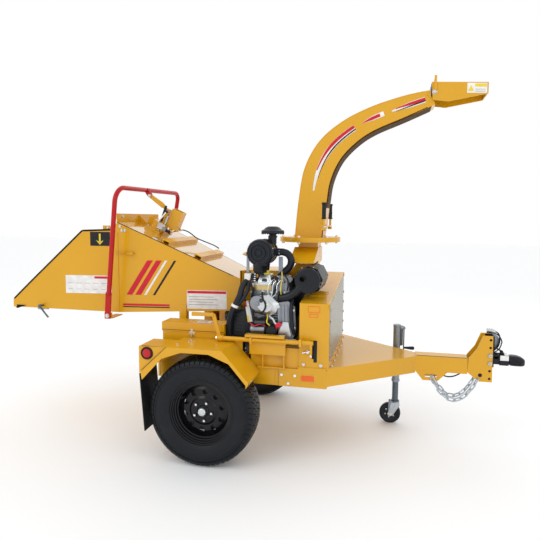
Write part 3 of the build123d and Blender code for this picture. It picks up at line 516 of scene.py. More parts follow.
VALVE_HOSE = [(-436, 46, 1404), (-404, 52, 1398), (-368, 62, 1374), (-338, 84, 1342), (-300, 118, 1322),
              (-262, 148, 1302), (-222, 172, 1284), (-196, 186, 1262)]
LIGHT_CABLE = [(1430, 0, 487.2), (1431, 3, 464), (1446, 12, 448), (1474, 26, 438), (1508, 42, 438),
               (1542, 58, 448), (1572, 70, 468), (1600, 78, 496), (1628, 80, 526), (1660, 80, 554),
               (1700, 80, 580), (1740, 78, 604), (1776, 74, 634), (1794, 67, 670), (1796, 58, 704),
               (1790, 50, 738), (1770, 46, 760), (1736, 46, 766)]


def make_plug():
    """Trailer plug: ribbed alloy shell with its collar, narrowing to the cable, all in bright alloy."""
    shape = [(15, 0), (17, 2), (17, 8), (14.5, 9), (14.5, 14), (17, 15), (17, 21), (14.5, 22), (14.5, 27),
             (17, 28), (17, 36), (14, 38), (12, 40), (12, 50), (9, 55)]
    b = Build("light_plug_shell", BRIGHT_ALLOY).lathe(shape, (1708, 46, 765), (1, 0, -0.07), steps=28)
    return b.done("zinc", replaces=["light_plug"])


def make_cords():
    hose = cord("valve_hose_line", VALVE_HOSE, 4.0, ["valve_hose"])
    cable = cord("light_cable_line", LIGHT_CABLE, 4.5, ["light_cable"])
    make_plug()


make_cords()


# ---- materials of the kept CAD nodes
FINISHES = {
    PAINT: ("side_rails cross_members tongue_beam hitch_plates hopper_posts control_tower control_link "
            "infeed_apron feed_housing roller_yoke disc_housing radiator_box chute deflector "
            "battery_box battery_lid clutch_lever fenders hopper"),
    PAINT_TOP: "tongue_frame",
    BLACK_PAINT: "axle rim_near rim_far muffler belt_guard radiator coupler coupler_latch",
    RED: "control_bar",
    ZINC: "jack_tube caster_fork radiator_screen",
    DARK_ZINC: "jack_leg apron_pin",
    PLATED: "jack_crank light_plug",
    CHAIN_ZINC: "safety_chains",
    CHROME: "control_valve frame_bolts",
    STEEL: "feed_roller bed_knife cutter_disc disc_knives",
    IRON: "disc_bearings engine_pulley engine_block",
    ALLOY: "cylinder_head",
    BRIGHT_ALLOY: "alternator",
    BLACK_PLASTIC: "air_cleaner precleaner",
    RUBBER: "mud_flaps chute_grips caster_wheel drive_belts",
    TYRE_RUBBER: "tyre_near tyre_far",
    HOSE: "intake_hose",
    RED_LENS: "lamps",
}


def dress_frame():
    for material, names in FINISHES.items():
        for name in names.split():
            mesh = NODES[name].data
            mesh.materials.clear()
            mesh.materials.append(material)


dress_frame()


# ---- edges of the kept sheet-metal nodes
EDGES = {
    1.6: "tongue_frame tongue_beam hitch_plates fenders hopper_posts side_rails battery_box",
    2.0: "engine_block deflector",
    1.2: "battery_lid radiator_box control_tower control_link control_bar infeed_apron clutch_lever",
}


def round_edges():
    for width, names in EDGES.items():
        for name in names.split():
            soften(NODES[name], width)


round_edges()


# ---- wheels
BLOCKS, VENTS, STUDS, STUD_CIRCLE = 60, 10, 5, 57.15
TREAD = [[(321, -12), (321, 12), (331.4, 12), (331.4, -12)],
         [(321, 17), (321, 41), (330.6, 41), (331.2, 17)],
         [(318, 46), (316, 76), (296, 88), (298, 97.4), (313, 93.5), (326, 80), (330.4, 46)]]
CARCASS = [(179, 66), (196, 69), (199, 84), (206, 90), (222, 96), (240, 100.3), (256, 102), (272, 101),
           (280, 99), (282, 101.4), (287, 100.6), (289, 97), (300, 93), (310, 87), (318, 80), (321, 74)]
BARREL = [(196, 78), (189, 77), (186, 70), (180, 68), (177, 58), (170, 55), (167, 43), (160, 40),
          (158, 22), (157, -40), (166, -50), (175, -66), (186, -70), (196, -78), (199, -78), (199, -72),
          (182, -68), (176, -50), (162, -38), (162, 36), (172, 44), (176, 56), (182, 62), (199, 72),
          (199, 78)]
PLATE = [(34, 40), (74, 40), (80, 37), (88, 28), (98, 26), (110, 31), (126, 31), (136, 24), (159, 17),
         (159, 12), (134, 19), (124, 26), (110, 26), (96, 21), (84, 24), (74, 34), (34, 35)]


def beside(side, radius, offset, angle):
    """Point of a wheel: offset is outwards from its middle plane."""
    return vec(radius * cos(angle), side * (abs(WHEEL_Y) + offset),
                   TYRE_R + radius * sin(angle))


def make_tyre(name, side, body, node):
    """Trailer tyre: bulged sidewalls with a moulded ring, and five rows of slanting blocks."""
    b = Build(name, TYRE_RUBBER)
    profile = CARCASS + [(r, -w) for r, w in CARCASS[::-1]]
    b.lathe(profile, (0, side * abs(WHEEL_Y), TYRE_R), (0, side, 0), steps=96, closed=True)
    rows = TREAD + [[(r, -w) for r, w in row] for row in TREAD[1:]]
    for index, row in enumerate(rows):
        for k in range(BLOCKS):
            rings = []
            for part in (0.0, 0.42, 0.84):
                turn = [tau / BLOCKS * (k + part + 0.014 * w + 0.37 * index) for r, w in row]
                rings.append([beside(side, r, w, a) for (r, w), a in zip(row, turn)])
            b.loft(rings)
    return b.done("tyre_rubber", body, replaces=[node])


def make_wheel(name, side, body, node):
    """Pressed steel wheel with ten round vents, chromed nuts and the bright hub cap."""
    hub, axis = vec(0, side * abs(WHEEL_Y), TYRE_R), vec(0, side, 0)
    plate = Build(name + "_plate", WHEEL_BLACK).lathe(PLATE, hub, axis, steps=96, closed=True)
    plate = plate.done("black_paint", body, replaces=[node])
    tools = []
    for k in range(VENTS):
        angle = radians(360 / VENTS * k + 13)
        tool = Build("vent").rod(beside(side, 118, 0, angle), beside(side, 118, 60, angle), 16, WHEEL_BLACK)
        tools.append(tool.done(body=body))
    carve(plate, tools)
    soften(plate, 1.6)
    b = Build(name + "_barrel", WHEEL_BLACK).lathe(BARREL, hub, axis, steps=96, closed=True)
    b.lathe([(40, 6), (130, 4), (136, -2), (136, -44), (40, -46)], hub, axis, IRON, 64, closed=True)
    b.done(body=body)
    b = Build(name + "_nuts", CHROME)
    for k in range(STUDS):
        angle = radians(360 / STUDS * k - 8)
        seat = beside(side, STUD_CIRCLE, 39, angle)
        b.lathe([(12, 0), (12, 2), (10, 5)], seat, axis, WHEEL_BLACK, 24)
        b.loft([ring(seat + axis * d, axis, r, 6) for r, d in ((9.5, 2), (9.5, 13), (8.5, 16))])
        b.lathe([(7.5, 13), (7, 17), (5, 19.5), (2, 20.5)], seat, axis, steps=18)
    b.done("chrome", body)
    cap = [(27, 46), (26, 62), (24, 67), (19, 70), (8, 71), (0, 71)]
    b = Build(name + "_cap", BRIGHT_ALLOY).lathe(cap, hub, axis, steps=48)
    b.lathe([(36, 34), (36, 44), (32, 48), (27, 48)], hub, axis, WHEEL_BLACK, 48)
    stem = radians(150)
    b.rod(beside(side, 146, 14, stem), beside(side, 150, 52, stem), 5, RUBBER, 12, 2)
    b.rod(beside(side, 150, 50, stem), beside(side, 151, 60, stem), 4, BLACK_PLASTIC, 10, 1)
    b.done("zinc", body)


for which, side in (("near", -1), ("far", 1)):
    make_tyre("tyre_tread_" + which, side, "wheel_" + which, "tyre_" + which)
    make_wheel("wheel_steel_" + which, side, "wheel_" + which, "rim_" + which)


# ---- lamps
def make_lamps():
    """Marker and tail lamps with their grommets, and the amber reflectors."""
    lens_shape = [(29, -2), (29, 5), (26, 9.5), (20, 11.5), (10, 12.4), (0, 12.6)]
    grommet = [(39, 0), (39, 5), (36, 9), (31, 10), (29.4, 8), (29.4, 0)]
    rear = [(52, -1), (52, 5), (48, 9), (46, 11), (30, 13.5), (0, 14.5)]
    lamps, rings = Build("lamp_lenses", RED_LENS), Build("lamp_grommets", RUBBER)
    for side in (-1, 1):
        out, marker, tail = vec(0, side, 0), (-332, side * 763.4, 682), (-385.2, side * 640, 645)
        lamps.lathe(lens_shape, marker, out, RED_LENS, 40)
        rings.lathe(grommet, marker, out, RUBBER, 40, closed=True)
        lamps.lathe(rear, tail, (-1, 0, 0), RED_LENS, 48)
        rings.lathe([(58, 0), (58, 4), (54, 8), (52, 4), (52, 0)], tail, (-1, 0, 0),
                    RUBBER, 48, closed=True)
        y0, y1 = side * 504.4, side * 510
        lamps.box(561, 648, y0, side * 505.5, 500, 538, YELLOW_PRINT)
        lamps.box(564, 645, y0, y1, 502, 536, AMBER)
    lamps.done("red_lens", replaces=["lamps"], bevel=1.6)
    rings.done("black_rubber")


make_lamps()


# ---- hopper
FOLD_X, FOLD_Y, MOUTH_X = -755, 326, -1516


def side_y(x):
    """Half width of the hopper at a distance along it: flared before the fold, tapering after."""
    return FOLD_Y - (0.14323 if x < FOLD_X else 0.1293) * (x - FOLD_X)


def on_side(side, x, z, out=0.6):
    return vec(x, side * (side_y(x) + out), z)


def sticker(b, side, points, material, out=0.6):
    """Thin plate on a side of the hopper, by its corners in the plane across Y."""
    b.slab([on_side(side, x, z, out) for x, z in points], (0, side, 0), 0.7, material)


def panel(b, side, x0, x1, z0, z1, material, out=0.6):
    sticker(b, side, [(x0, z0), (x1, z0), (x1, z1), (x0, z1)], material, out)


def strip(b, points, widths, offset, thickness, material):
    """Flat ribbon through points in the plane across Y, of varying width."""
    rings = []
    for k, point in enumerate(points):
        ahead = points[min(k + 1, len(points) - 1)] - points[max(k - 1, 0)]
        across_it = vec(-ahead.z, 0, ahead.x).normalized() * widths[k] / 2
        low, high = point - across_it, point + across_it
        rings.append([low, high, high + offset * thickness, low + offset * thickness])
    b.loft(rings, material)


ARROW = [(-906, 1334), (-880, 1304), (-854, 1334), (-880, 1324)]


def make_hopper_labels():
    """Plain panels and stripes where the machine carries its stickers."""
    b = Build("hopper_labels", WHITE)
    for side in (-1, 1):
        panel(b, side, -948, -809, 1296, 1392, BLACK_PRINT)
        panel(b, side, -886, -874, 1318, 1380, YELLOW_PRINT, 1.2)
        sticker(b, side, ARROW, YELLOW_PRINT, 1.2)
        panel(b, side, -1131, -803, 964, 1090, WHITE)
        panel(b, side, -925, -811, 1068, 1084, RED_PRINT, 1.2)
        for x in rows(-1112, 58, 5):
            panel(b, side, x, x + 40, 1034, 1036, GREY_PRINT, 1.2)
            panel(b, side, x, x + 32, 992, 994, GREY_PRINT, 1.2)
        panel(b, side, -276, -2, 872, 1000, WHITE)
        panel(b, side, -272, -6, 978, 996, RED_PRINT, 1.2)
        for k in range(4):
            panel(b, side, -262, -60 - 30 * (k % 2), 900 + 18 * k, 903 + 18 * k, GREY_PRINT, 1.2)
        for k, material in enumerate((RED_PRINT, RED_PRINT, WHITE, BLACK_PRINT)):
            x, wide, lean = -700 + 62 * k, 40 if k < 2 else 16, 150
            stripe = [(x, 960), (x + wide, 960), (x + wide + lean, 1200), (x + lean, 1200)]
            sticker(b, side, stripe, material)
        for z0, z1, material in ((884, 898, RED_PRINT), (872, 879, BLACK_PRINT)):
            panel(b, side, -726, -398, z0, z1, material)
    b.done("yellow_paint")


def make_hopper_sheet():
    """Turned edges, welds, bolts, gussets and the tab of the hopper's sheet metal."""
    b = Build("hopper_edges", PAINT)
    for side in (-1, 1):
        rim = []
        for x, z in ((MOUTH_X, 915), (-1004, 1401), (-801, 1409)):
            y = side * side_y(x)
            inner = y - side * 24
            rim.append([(x, y, z - 3), (x, y, z + 0.2), (x, inner, z + 0.2), (x, inner, z - 3)])
        b.loft(rim[:2])
        b.loft(rim[1:])
        b.hose([on_side(side, FOLD_X, z, 0.5) for z in range(838, 1408, 24)], 3.2, PAINT, 8, 0.7)
        b.box(-771, -690, side * 318, side * 346, 1252, 1257)
        for x, z in ((-736, 1432), (-724, 1404), (-702, 1404)):
            b.bolt(on_side(side, x, z), (0, side, 0), 8, 6)
        b.bolt((FOLD_X - 6, side * 250, 1497), (-1, 0, 0), 9, 6)
        b.bolt((FOLD_X, side * 250, 1497), (1, 0, 0), 9, 6)
        b.box(-868, -812, side * 318, side * 322, 1404, 1436)
        b.bolt((-830, side * 322, 1420), (0, side, 0), 7, 5)
        shoe = [(MOUTH_X + 2, 872), (-1444, 868), (-1470, 858), (MOUTH_X + 8, 856)]
        b.prism(shoe, 1, side * 376, side * (side_y(-1500) - 6), BLACK_PAINT)
    b.done("yellow_paint", bevel=0.6)


make_hopper_labels()
make_hopper_sheet()


# ---- chute
OUTER_CURVE = [(438, 1368), (462, 1620), (500, 1830), (594, 2000), (740, 2122), (922, 2209),
               (1120, 2268), (1288, 2299)]
INNER_CURVE = [(624, 1368), (652, 1589), (676, 1742), (740, 1882), (845, 1991), (960, 2063),
               (1140, 2135), (1322, 2212)]


CHUTE_X, BOLT_CIRCLE = 530, 185


def chute_line(share, start, end, side, out):
    """Points along the side of the chute, at a share of the way across it."""
    outer = smooth([(x, 0, z) for x, z in OUTER_CURVE], 8)
    inner = smooth([(x, 0, z) for x, z in INNER_CURVE], 8)
    points = [a.lerp(b, share) for a, b in zip(outer, inner)]
    points = points[round(start * len(points)):round(end * len(points))]
    return [vec(p.x, side * (85 + out), p.z) for p in points]


def turntable_bolts(z):
    """Six places on the bolt circle of the chute's turning ring."""
    angles = [radians(60 * k + 15) for k in range(6)]
    return [vec(CHUTE_X + BOLT_CIRCLE * cos(a), BOLT_CIRCLE * sin(a), z) for a in angles]


def make_chute_dress():
    """Edge welds, plain stripes, ring bolts, the lower flange's fixings and a painted-shade belly strip."""
    b = Build("chute_stripes", RED_PRINT)
    for side in (-1, 1):
        out = vec(0, side, 0)
        bands = ((0.475, 0.20, 0.62, 40, WHITE, 0.4), (0.425, 0.29, 0.612, 20, RED_PRINT, 1.1),
                 (0.545, 0.27, 0.608, 9, BLACK_PRINT, 1.1), (0.475, 0.648, 0.765, 30, WHITE, 0.4),
                 (0.475, 0.652, 0.761, 20, RED_PRINT, 1.1), (0.50, 0.79, 0.965, 34, WHITE, 0.4),
                 (0.455, 0.80, 0.958, 17, RED_PRINT, 1.1), (0.565, 0.80, 0.96, 8, BLACK_PRINT, 1.1))
        for share, start, end, width, material, lift in bands:
            line = chute_line(share, start, end, side, lift)
            count = len(line)
            widths = [width * (0.25 + 0.75 * min(1.0, 2.2 * k / count)) for k in range(count)]
            strip(b, line, widths, out, 0.7, material)
    b.done("yellow_paint", "chute")
    # Belly strip: painted shade, a dark film along the chute's underside where shade falls.
    b = Build("chute_belly", CHUTE_SHADE_PAINT)
    near, far = (chute_line(1.0, 0.13, 0.985, side, -1) for side in (-1, 1))
    belly = []
    for k, (low, high) in enumerate(zip(near, far)):
        ahead = near[min(k + 1, len(near) - 1)] - near[max(k - 1, 0)]
        down = vec(ahead.z, 0, -ahead.x).normalized()
        belly.append([low, high, high + down * 4.5, low + down * 4.5])
    b.loft(belly)
    b.done("yellow_paint", "chute")
    b = Build("chute_welds", PAINT)
    for side in (-1, 1):
        # The weld along the inner curve is darkened with painted shade; the one along the outer curve keeps
        # the yellow paint.
        for share, material in ((0.008, PAINT), (0.992, CHUTE_SHADE_PAINT)):
            b.hose(chute_line(share, 0.0, 0.97, side, -0.6), 3.0, material, 8)
        b.hose([(x, side * 87, 1370) for x in range(446, 622, 8)], 4.0, PAINT, 8, 0.6)
    for at in turntable_bolts(1367.6):
        b.bolt(at, Z_AXIS, 10, 8)
        b.rod(at + vec(0, 0, 8), at + vec(0, 0, 12), 5, PLATED, 12, 1)
    b.done("yellow_paint", "chute")
    b = Build("neck_bolts", PLATED)
    b.bolts(turntable_bolts(1336), -Z_AXIS, 10, 10)
    b.done("zinc")


def make_grips():
    """Ribbed rubber grips, flanged at both ends, on their yellow bracket."""
    profile = [(11, 0), (17, 1), (17.5, 4), (14, 8), (13.2, 16)]
    for k in range(8):
        profile += [(13.6 + 0.6 * sin(k * 0.9), 20 + 9 * k), (12.9, 24.5 + 9 * k)]
    profile += [(13.8, 94), (16.5, 99), (17, 103), (15, 107), (10, 108), (0, 108)]
    b = Build("chute_grip_rubber", RUBBER)
    for y in (-180, 180):
        b.lathe(profile, (646, y, 1490), Z_AXIS, steps=28)
        b.rod((646, y, 1446), (646, y, 1492), 8, PAINT, 20)
        b.lathe([(14, 0), (14, 6)], (646, y, 1436), Z_AXIS, PLATED, 6)
    b.boxes((626, 656, -190, 190, 1440, 1447), (622, 640, -34, 34, 1410, 1441), material=PAINT)
    for y in (-188, 184):
        b.box(628, 656, y, y + 4, 1418, 1443, PAINT)
    b.done("black_rubber", "chute", replaces=["chute_grips"], bevel=0.8)


def make_deflector_dress():
    """Pivot bolts, plain labels, clamp bar and the dark lip at the deflector's root."""
    b = Build("deflector_fittings", PAINT)
    for side in (-1, 1):
        out = vec(0, side, 0)
        b.bolt((1315, side * 99, 2283), out, 12, 10)
        b.plate([(1506, 2269), (1622, 2263), (1622, 2323), (1506, 2329)], side * 99.4, 0.7, WHITE)
        b.plate([(1550, 2304), (1618, 2300), (1618, 2318), (1550, 2322)], side * 100, 0.7, YELLOW_PRINT)
        b.plate([(1512, 2280), (1544, 2278), (1529, 2314), (1527, 2314)], side * 100, 0.7, YELLOW_PRINT)
        for z in (2292, 2280):
            bar = [(1554, z - 5), (1612, z - 8), (1612, z - 5), (1554, z - 2)]
            b.plate(bar, side * 100, 0.5, GREY_PRINT)
    b.box(1311, 1326, -107, -100, 2272, 2383)
    b.prism([(1296, 2336), (1304, 2336), (1300, 2250), (1294, 2262)], 1, -92, 92, BLACK_PAINT)
    b.done("yellow_paint", "deflector", bevel=0.5)


make_chute_dress()
make_grips()
make_deflector_dress()


# ---- engine
CLEANER_X, CLEANER_Z = 290, 1280
CAP_X, CAP_Y = 338, -326


def make_air_intake():
    """Air cleaner with its rings, clips and dust valve, the precleaner and the moulded hose."""
    face = [(0, -2), (15, -2), (17, 5), (28, 5), (29, -4), (38, -4), (40, 6), (52, 6), (54, -2), (66, 0),
            (68, 6), (74, 6), (76, 3), (83, 14), (85, 24), (85, 40), (82, 44), (82, 52), (79, 56), (79, 190),
            (72, 198), (0, 198)]
    b = Build("air_cleaner_can", BLACK_PLASTIC)
    b.lathe(face, (CLEANER_X, -487, CLEANER_Z), Y_AXIS, steps=64)
    for angle in (20, 140, 250):
        a = radians(angle)
        at = vec(CLEANER_X + 86 * cos(a), -452, CLEANER_Z + 86 * sin(a))
        away = vec(cos(a), 0, sin(a))
        b.flow([at + vec(0, -26, 0), at + away * 5, at + vec(0, 24, 0)], 2.2, CHROME, 8, 5)
    for y in (-400, -330):
        band = [(79.5, 0), (82, 0), (82, 20), (79.5, 20)]
        b.lathe(band, (CLEANER_X, y, CLEANER_Z), Y_AXIS, BLACK_PAINT, 64, True)
    b.lathe([(24, 12), (30, 8), (33, -6), (30, -22), (33, -26), (31, -40), (24, -52), (16, -60), (0, -62)],
            (276, -456, 1208), Z_AXIS, RUBBER, 36)
    b.box(262, 318, -400, -362, 1112, 1208, BLACK_PAINT)
    b.prism([(262, 1112), (318, 1112), (330, 1206), (250, 1206)], 1, -362, -356, BLACK_PAINT)
    b.rod((336, -326, 1330), (336, -326, 1372), 27, BLACK_PLASTIC, 32, 2)
    b.rod((300, -326, 1330), (340, -326, 1330), 30, BLACK_PLASTIC, 32, 3)
    b.rod((352, -330, 1278), (386, -330, 1278), 26, BLACK_PLASTIC, 32, 2)
    b.done("black_plastic", replaces=["air_cleaner"], bevel=0.8)
    b = Build("precleaner_cap", BLACK_PLASTIC)
    cap = [(24, 1366), (24, 1390), (34, 1394), (74, 1396), (76, 1399), (74, 1415), (58, 1422), (46, 1434),
           (30, 1441), (0, 1442)]
    b.lathe(cap, (CAP_X, CAP_Y, 0), Z_AXIS, steps=12)
    collar = [(27.5, 1370), (29.5, 1370), (29.5, 1382), (27.5, 1382)]
    b.lathe(collar, (CAP_X, CAP_Y, 0), Z_AXIS, BLACK_PAINT, 36, True)
    for k in range(24):
        a = tau * k / 24
        foot = vec(CAP_X + 72 * cos(a), CAP_Y + 72 * sin(a), 1392)
        b.rod(foot, foot + vec(-10 * cos(a), -10 * sin(a), 6), 2.4, BLACK_PLASTIC, 6)
    b.done("black_plastic", replaces=["precleaner"], bevel=1.0)
    path = smooth([(376, -330, 1278), (408, -330, 1279), (440, -330, 1266), (460, -330, 1234),
                   (456, -330, 1196), (432, -332, 1164), (402, -334, 1142), (386, -335, 1112)])
    b = Build("intake_duct", HOSE).hose(path, 22.5, HOSE, 28, 0.5, 3)
    for k in (1, len(path) - 3):
        b.hose(path[k:k + 2], 24.6, CHROME, 28)
    b.done("black_rubber", replaces=["intake_hose"])


def make_muffler():
    """Muffler with a dished end, off-centre outlet, fat elbow and perforated guard."""
    b = Build("muffler_can", BLACK_PAINT)
    centre = vec(586, -462, 1114)
    b.lathe([(0, 10), (40, 4), (70, 2), (78, 6), (80, 12), (80, 20), (74, 22), (74, 30), (80, 32), (80, 44),
             (76, 50), (76, 300), (66, 318), (0, 320)], centre, Y_AXIS, steps=64)
    can = b.done("black_paint", replaces=["muffler"])
    b = Build("muffler_pipes", BLACK_PAINT)
    outlet = vec(556, -470, 1124)
    b.lathe([(16.5, 2), (20, 2), (20, 24), (16.5, 24)], outlet, Y_AXIS, BLACK_PAINT, 32, True)
    elbow = smooth([(404, -446, 1006), (432, -452, 1003), (470, -456, 1012), (506, -452, 1034),
                    (528, -440, 1062), (540, -430, 1088)])
    b.hose(elbow, 26, steps=28)
    b.lathe([(26, -4), (38, -4), (38, 6), (26, 6)], (408, -447, 1005.5), (1, -0.2, -0.1), IRON, 32, True)
    b.done("black_paint")
    carve(can, [Build("bore").rod(outlet - Y_AXIS * 20, outlet + Y_AXIS * 70, 18, BLACK_PRINT).done()])
    soften(can, 1.2)
    b = Build("muffler_guard", GUARD)
    radius, wall = 91, 2
    for first in range(-85, 140, 45):
        last = first + 45
        corners = []
        for angle, r in ((first, radius), (last, radius), (last, radius - wall), (first, radius - wall)):
            a = radians(angle)
            corners.append((588 + r * cos(a), 1114 + r * sin(a)))
        b.prism(corners, 1, -436, -150)
    for y in (-420, -160):
        for angle in (-10, 70, 120):
            a = radians(angle)
            b.rod((586 + 72 * cos(a), y, 1114 + 72 * sin(a)),
                  (588 + 88 * cos(a), y, 1114 + 88 * sin(a)), 4, PLATED, 10)
    b.done("black_paint")


def make_engine_top():
    """Rocker cover, filler cap, head fins, manifold, injector lines and the wiring block."""
    b = Build("rocker_cover", BRIGHT_ALLOY)
    for grow, z0, z1, material in ((0, 1044, 1074, BRASS), (-4, 1074, 1084, BRIGHT_ALLOY)):
        b.box(228 - grow, 358 + grow, -436 - grow, -290 + grow, z0, z1, material)
    low = [(262, -430), (358, -430), (358, -296), (262, -296)]
    top = [(276, -412), (344, -412), (344, -312), (276, -312)]
    b.loft([[vec(x, y, 1084) for x, y in low], [vec(x, y, 1128) for x, y in top],
            [vec(x + 4 * (x < 300) - 4 * (x > 300), y * 0.99, 1138) for x, y in top]])
    b.slab([(278, -428, 1090), (342, -428, 1090), (334, -415, 1122), (286, -415, 1122)], (0, -1, 0.4), 5)
    b.slab([(296, -433, 1098), (324, -433, 1098), (328, -427, 1106), (322, -424, 1116), (298, -424, 1116),
            (292, -427, 1106)], (0, -1, 0.4), 2, IRON)
    b.lathe([(24, 0), (24, 10), (19, 12), (19, 24), (16, 27), (0, 27)], (312, -380, 1138), Z_AXIS,
            YELLOW_PRINT, 10)
    for x in (270, 350):
        for y in (-422, -304):
            b.bolt((x, y, 1084), Z_AXIS, 8, 9)
    b.done("engine_alloy", replaces=["cylinder_head"], bevel=2.0, segments=3)
    b = Build("head_casting", ALLOY)
    b.box(222, 470, -430, -265, 930, 1044)
    for z in rows(944, 15, 7):
        b.boxes((218, 300, -434, -262, z, z + 5), (420, 474, -434, -262, z, z + 5))
    b.box(362, 468, -424, -300, 1044, 1092)
    for x in rows(368, 20, 5):
        b.box(x, x + 7, -430, -296, 1044, 1100)
    b.prism([(402, 1092), (470, 1092), (486, 1116), (470, 1134), (392, 1134)], 1, -400, -352)
    b.near_bolts(-430, 8, 8, (232, 1030), (300, 1034), (356, 1030), (440, 1030), (232, 940), (440, 940))
    b.done("engine_alloy", bevel=1.6)
    b = Build("heat_shield", BLACK_PAINT)
    b.prism([(188, 862), (188, 1092), (204, 1102), (474, 1102), (544, 1044), (564, 1000), (564, 862)], 1,
            -262, -257)
    b.near_bolts(-262, 7, 5, (204, 880), (204, 1080), (548, 880), (540, 1020))
    b.done("black_paint", bevel=1.0)
    b = Build("fuel_lines", CHROME)
    for k in range(3):
        x = 372 + 26 * k
        line = [(x, -424, 1098), (x - 4, -446, 1112), (x - 26, -462, 1080), (x - 30, -464, 1030),
                (360 - 9 * k, -458, 985)]
        b.flow(line, 2.6, steps=8)
        b.lathe([(8, 0), (8, 10), (5, 12), (5, 20)], (x, -418, 1092), Z_AXIS, PLATED, 6)
    dipstick = [(426, -452, 1166), (428, -454, 1120), (420, -456, 1060), (430, -470, 990)]
    breather = [(414, -440, 1150), (446, -450, 1140), (468, -452, 1100), (462, -452, 1050)]
    fuel_hose = [(360, -440, 1120), (386, -450, 1132), (400, -452, 1096), (384, -452, 1060),
                 (372, -452, 1020)]
    b.flow(dipstick, 3, YELLOW_PRINT, 8, 5)
    b.flow(breather, 5, HOSE, 10)
    b.flow(fuel_hose, 6, HOSE, 10)
    b.done("chrome")
    b = Build("wiring_block", WHITE)
    b.box(184, 224, -446, -412, 1106, 1146)
    b.box(226, 252, -440, -404, 1090, 1150, BLACK_PLASTIC)
    for z in rows(1098, 14, 4):
        b.box(224, 256, -444, -440, z, z + 8, CHROME)
    b.box(190, 206, -418, -404, 1150, 1262, ZINC)
    b.lathe([(10, 0), (12, 4), (12, 12), (7, 16), (7, 26), (0, 27)], (193, -420, 1268), -X_AXIS, BRASS, 8)
    b.boxes((186, 206, -424, -400, 1256, 1280), (384, 410, -352, -344, 1130, 1250), material=ZINC)
    b.done("zinc", bevel=1.2)


def make_engine_side():
    """Alternator, starter, side covers, finned housing, filter, hoses and cables."""
    b = Build("charging_unit", BRIGHT_ALLOY)
    face = [(0, 0), (10, 0), (12, 5), (20, 6), (46, 8), (49, 12), (49, 22), (44, 26), (44, 48)]
    b.lathe(face, (280, -500, 968), Y_AXIS, ALLOY, 36)
    cover = [(246, 936), (252, 988), (296, 1016), (356, 1018), (416, 968), (398, 912), (352, 884),
             (284, 894)]
    b.loft([[vec(330 + s * (x - 330), y, 955 + s * (z - 955)) for x, z in cover] for y, s in
            ((-446, 1.0), (-472, 0.98), (-490, 0.62), (-494, 0.56))])
    b.lathe([(0, 1), (10, 1), (12, 0), (14, 4)], (306, -497, 986), Y_AXIS, IRON, 24)
    b.prism([(318, 986), (346, 990), (372, 964), (352, 940), (326, 950)], 1, -500, -494)
    b.near_bolts(-500, 10, 8, (350, 966))
    b.near_bolts(-470, 7, 7, (318, 944), (398, 976), (346, 1014))
    b.box(250, 316, -446, -440, 868, 1010, ALLOY)
    b.done("engine_alloy", replaces=["alternator"], bevel=1.4)
    b = Build("engine_fittings", ALLOY)
    b.lathe([(0, 0), (12, 0), (14, 4), (27, 5), (29, 9), (29, 30), (27, 34), (27, 92), (22, 96)],
            (232, -470, 800), X_AXIS, steps=32)
    b.lathe([(16, 0), (17, 3), (17, 66), (12, 70)], (262, -480, 846), X_AXIS, IRON, 24)
    b.box(207, 400, -448, -440, 712, 768)
    for x in rows(222, 42, 5):
        b.near_bolts(-448, 6, 6, (x, 722), (x, 758))
    for z in rows(862, 16, 5):
        b.box(330, 398, -450, -438, z, z + 6)
    bell = [(400, 972), (470, 984), (512, 950), (520, 800), (500, 742), (410, 738)]
    b.prism(bell, 1, -462, -432)
    for x in rows(416, 22, 4):
        b.prism([(x, 960), (x + 8, 960), (x + 12, 756), (x + 4, 756)], 1, -470, -462)
    b.prism([(408, 770), (440, 856), (476, 856), (492, 770)], 1, -482, -462, BRIGHT_ALLOY)
    b.near_bolts(-470, 8, 8, (418, 780), (482, 780), (458, 846), (504, 930), (410, 950), (508, 820))
    b.box(418, 524, -476, -420, 730, 752)
    b.lathe([(30, 0), (34, 4), (34, 60), (30, 72), (0, 74)], (372, -440, 800), -Y_AXIS, BLACK_PAINT, 32)
    b.done("engine_alloy", bevel=1.4)
    b = Build("engine_hoses", HOSE)
    runs = (([(196, -430, 1104), (172, -452, 1060), (160, -470, 1006), (134, -476, 950), (106, -474, 890),
              (90, -466, 820), (86, -450, 740)], 19, HOSE),
            ([(214, -440, 1088), (208, -462, 1040), (184, -474, 990), (150, -470, 948)], 13, HOSE),
            ([(238, -446, 1060), (250, -466, 990), (248, -474, 900), (256, -474, 840), (270, -462, 800)],
             8, HOSE),
            ([(300, -446, 1030), (316, -500, 1004), (336, -508, 960), (318, -504, 918), (274, -500, 912),
              (246, -488, 930)], 5, RUBBER),
            ([(488, -430, 1000), (492, -482, 940), (494, -488, 880), (502, -486, 820), (512, -470, 780)],
             12, HOSE),
            ([(250, -470, 880), (286, -486, 872), (330, -486, 884), (352, -480, 852)], 5, RUBBER),
            ([(336, -470, 905), (344, -484, 880), (340, -486, 850), (360, -482, 830)], 4, YELLOW_PRINT),
            ([(352, -470, 884), (380, -486, 872), (392, -488, 850), (408, -486, 838)], 8, BRIGHT_ALLOY),
            ([(394, -480, 838), (402, -490, 812), (392, -490, 780), (384, -484, 748)], 5, RED_CABLE),
            ([(232, -486, 842), (262, -494, 826), (300, -492, 838), (330, -486, 826)], 3.5, RED_CABLE),
            ([(240, -462, 1150), (232, -468, 1096), (246, -474, 1050), (236, -474, 1000)], 6, RUBBER))
    for points, radius, material in runs:
        b.flow(points, radius, material)
    b.lathe([(19, -9), (23.5, -8), (23.5, 8), (19, 9)], (131, -476, 944), (-0.4, -0.05, -0.9), WHITE, 24,
            True)
    b.prism([(398, 842), (412, 856), (438, 848), (430, 828), (404, 822)], 1, -496, -484, RED_CABLE)
    b.done("black_rubber")


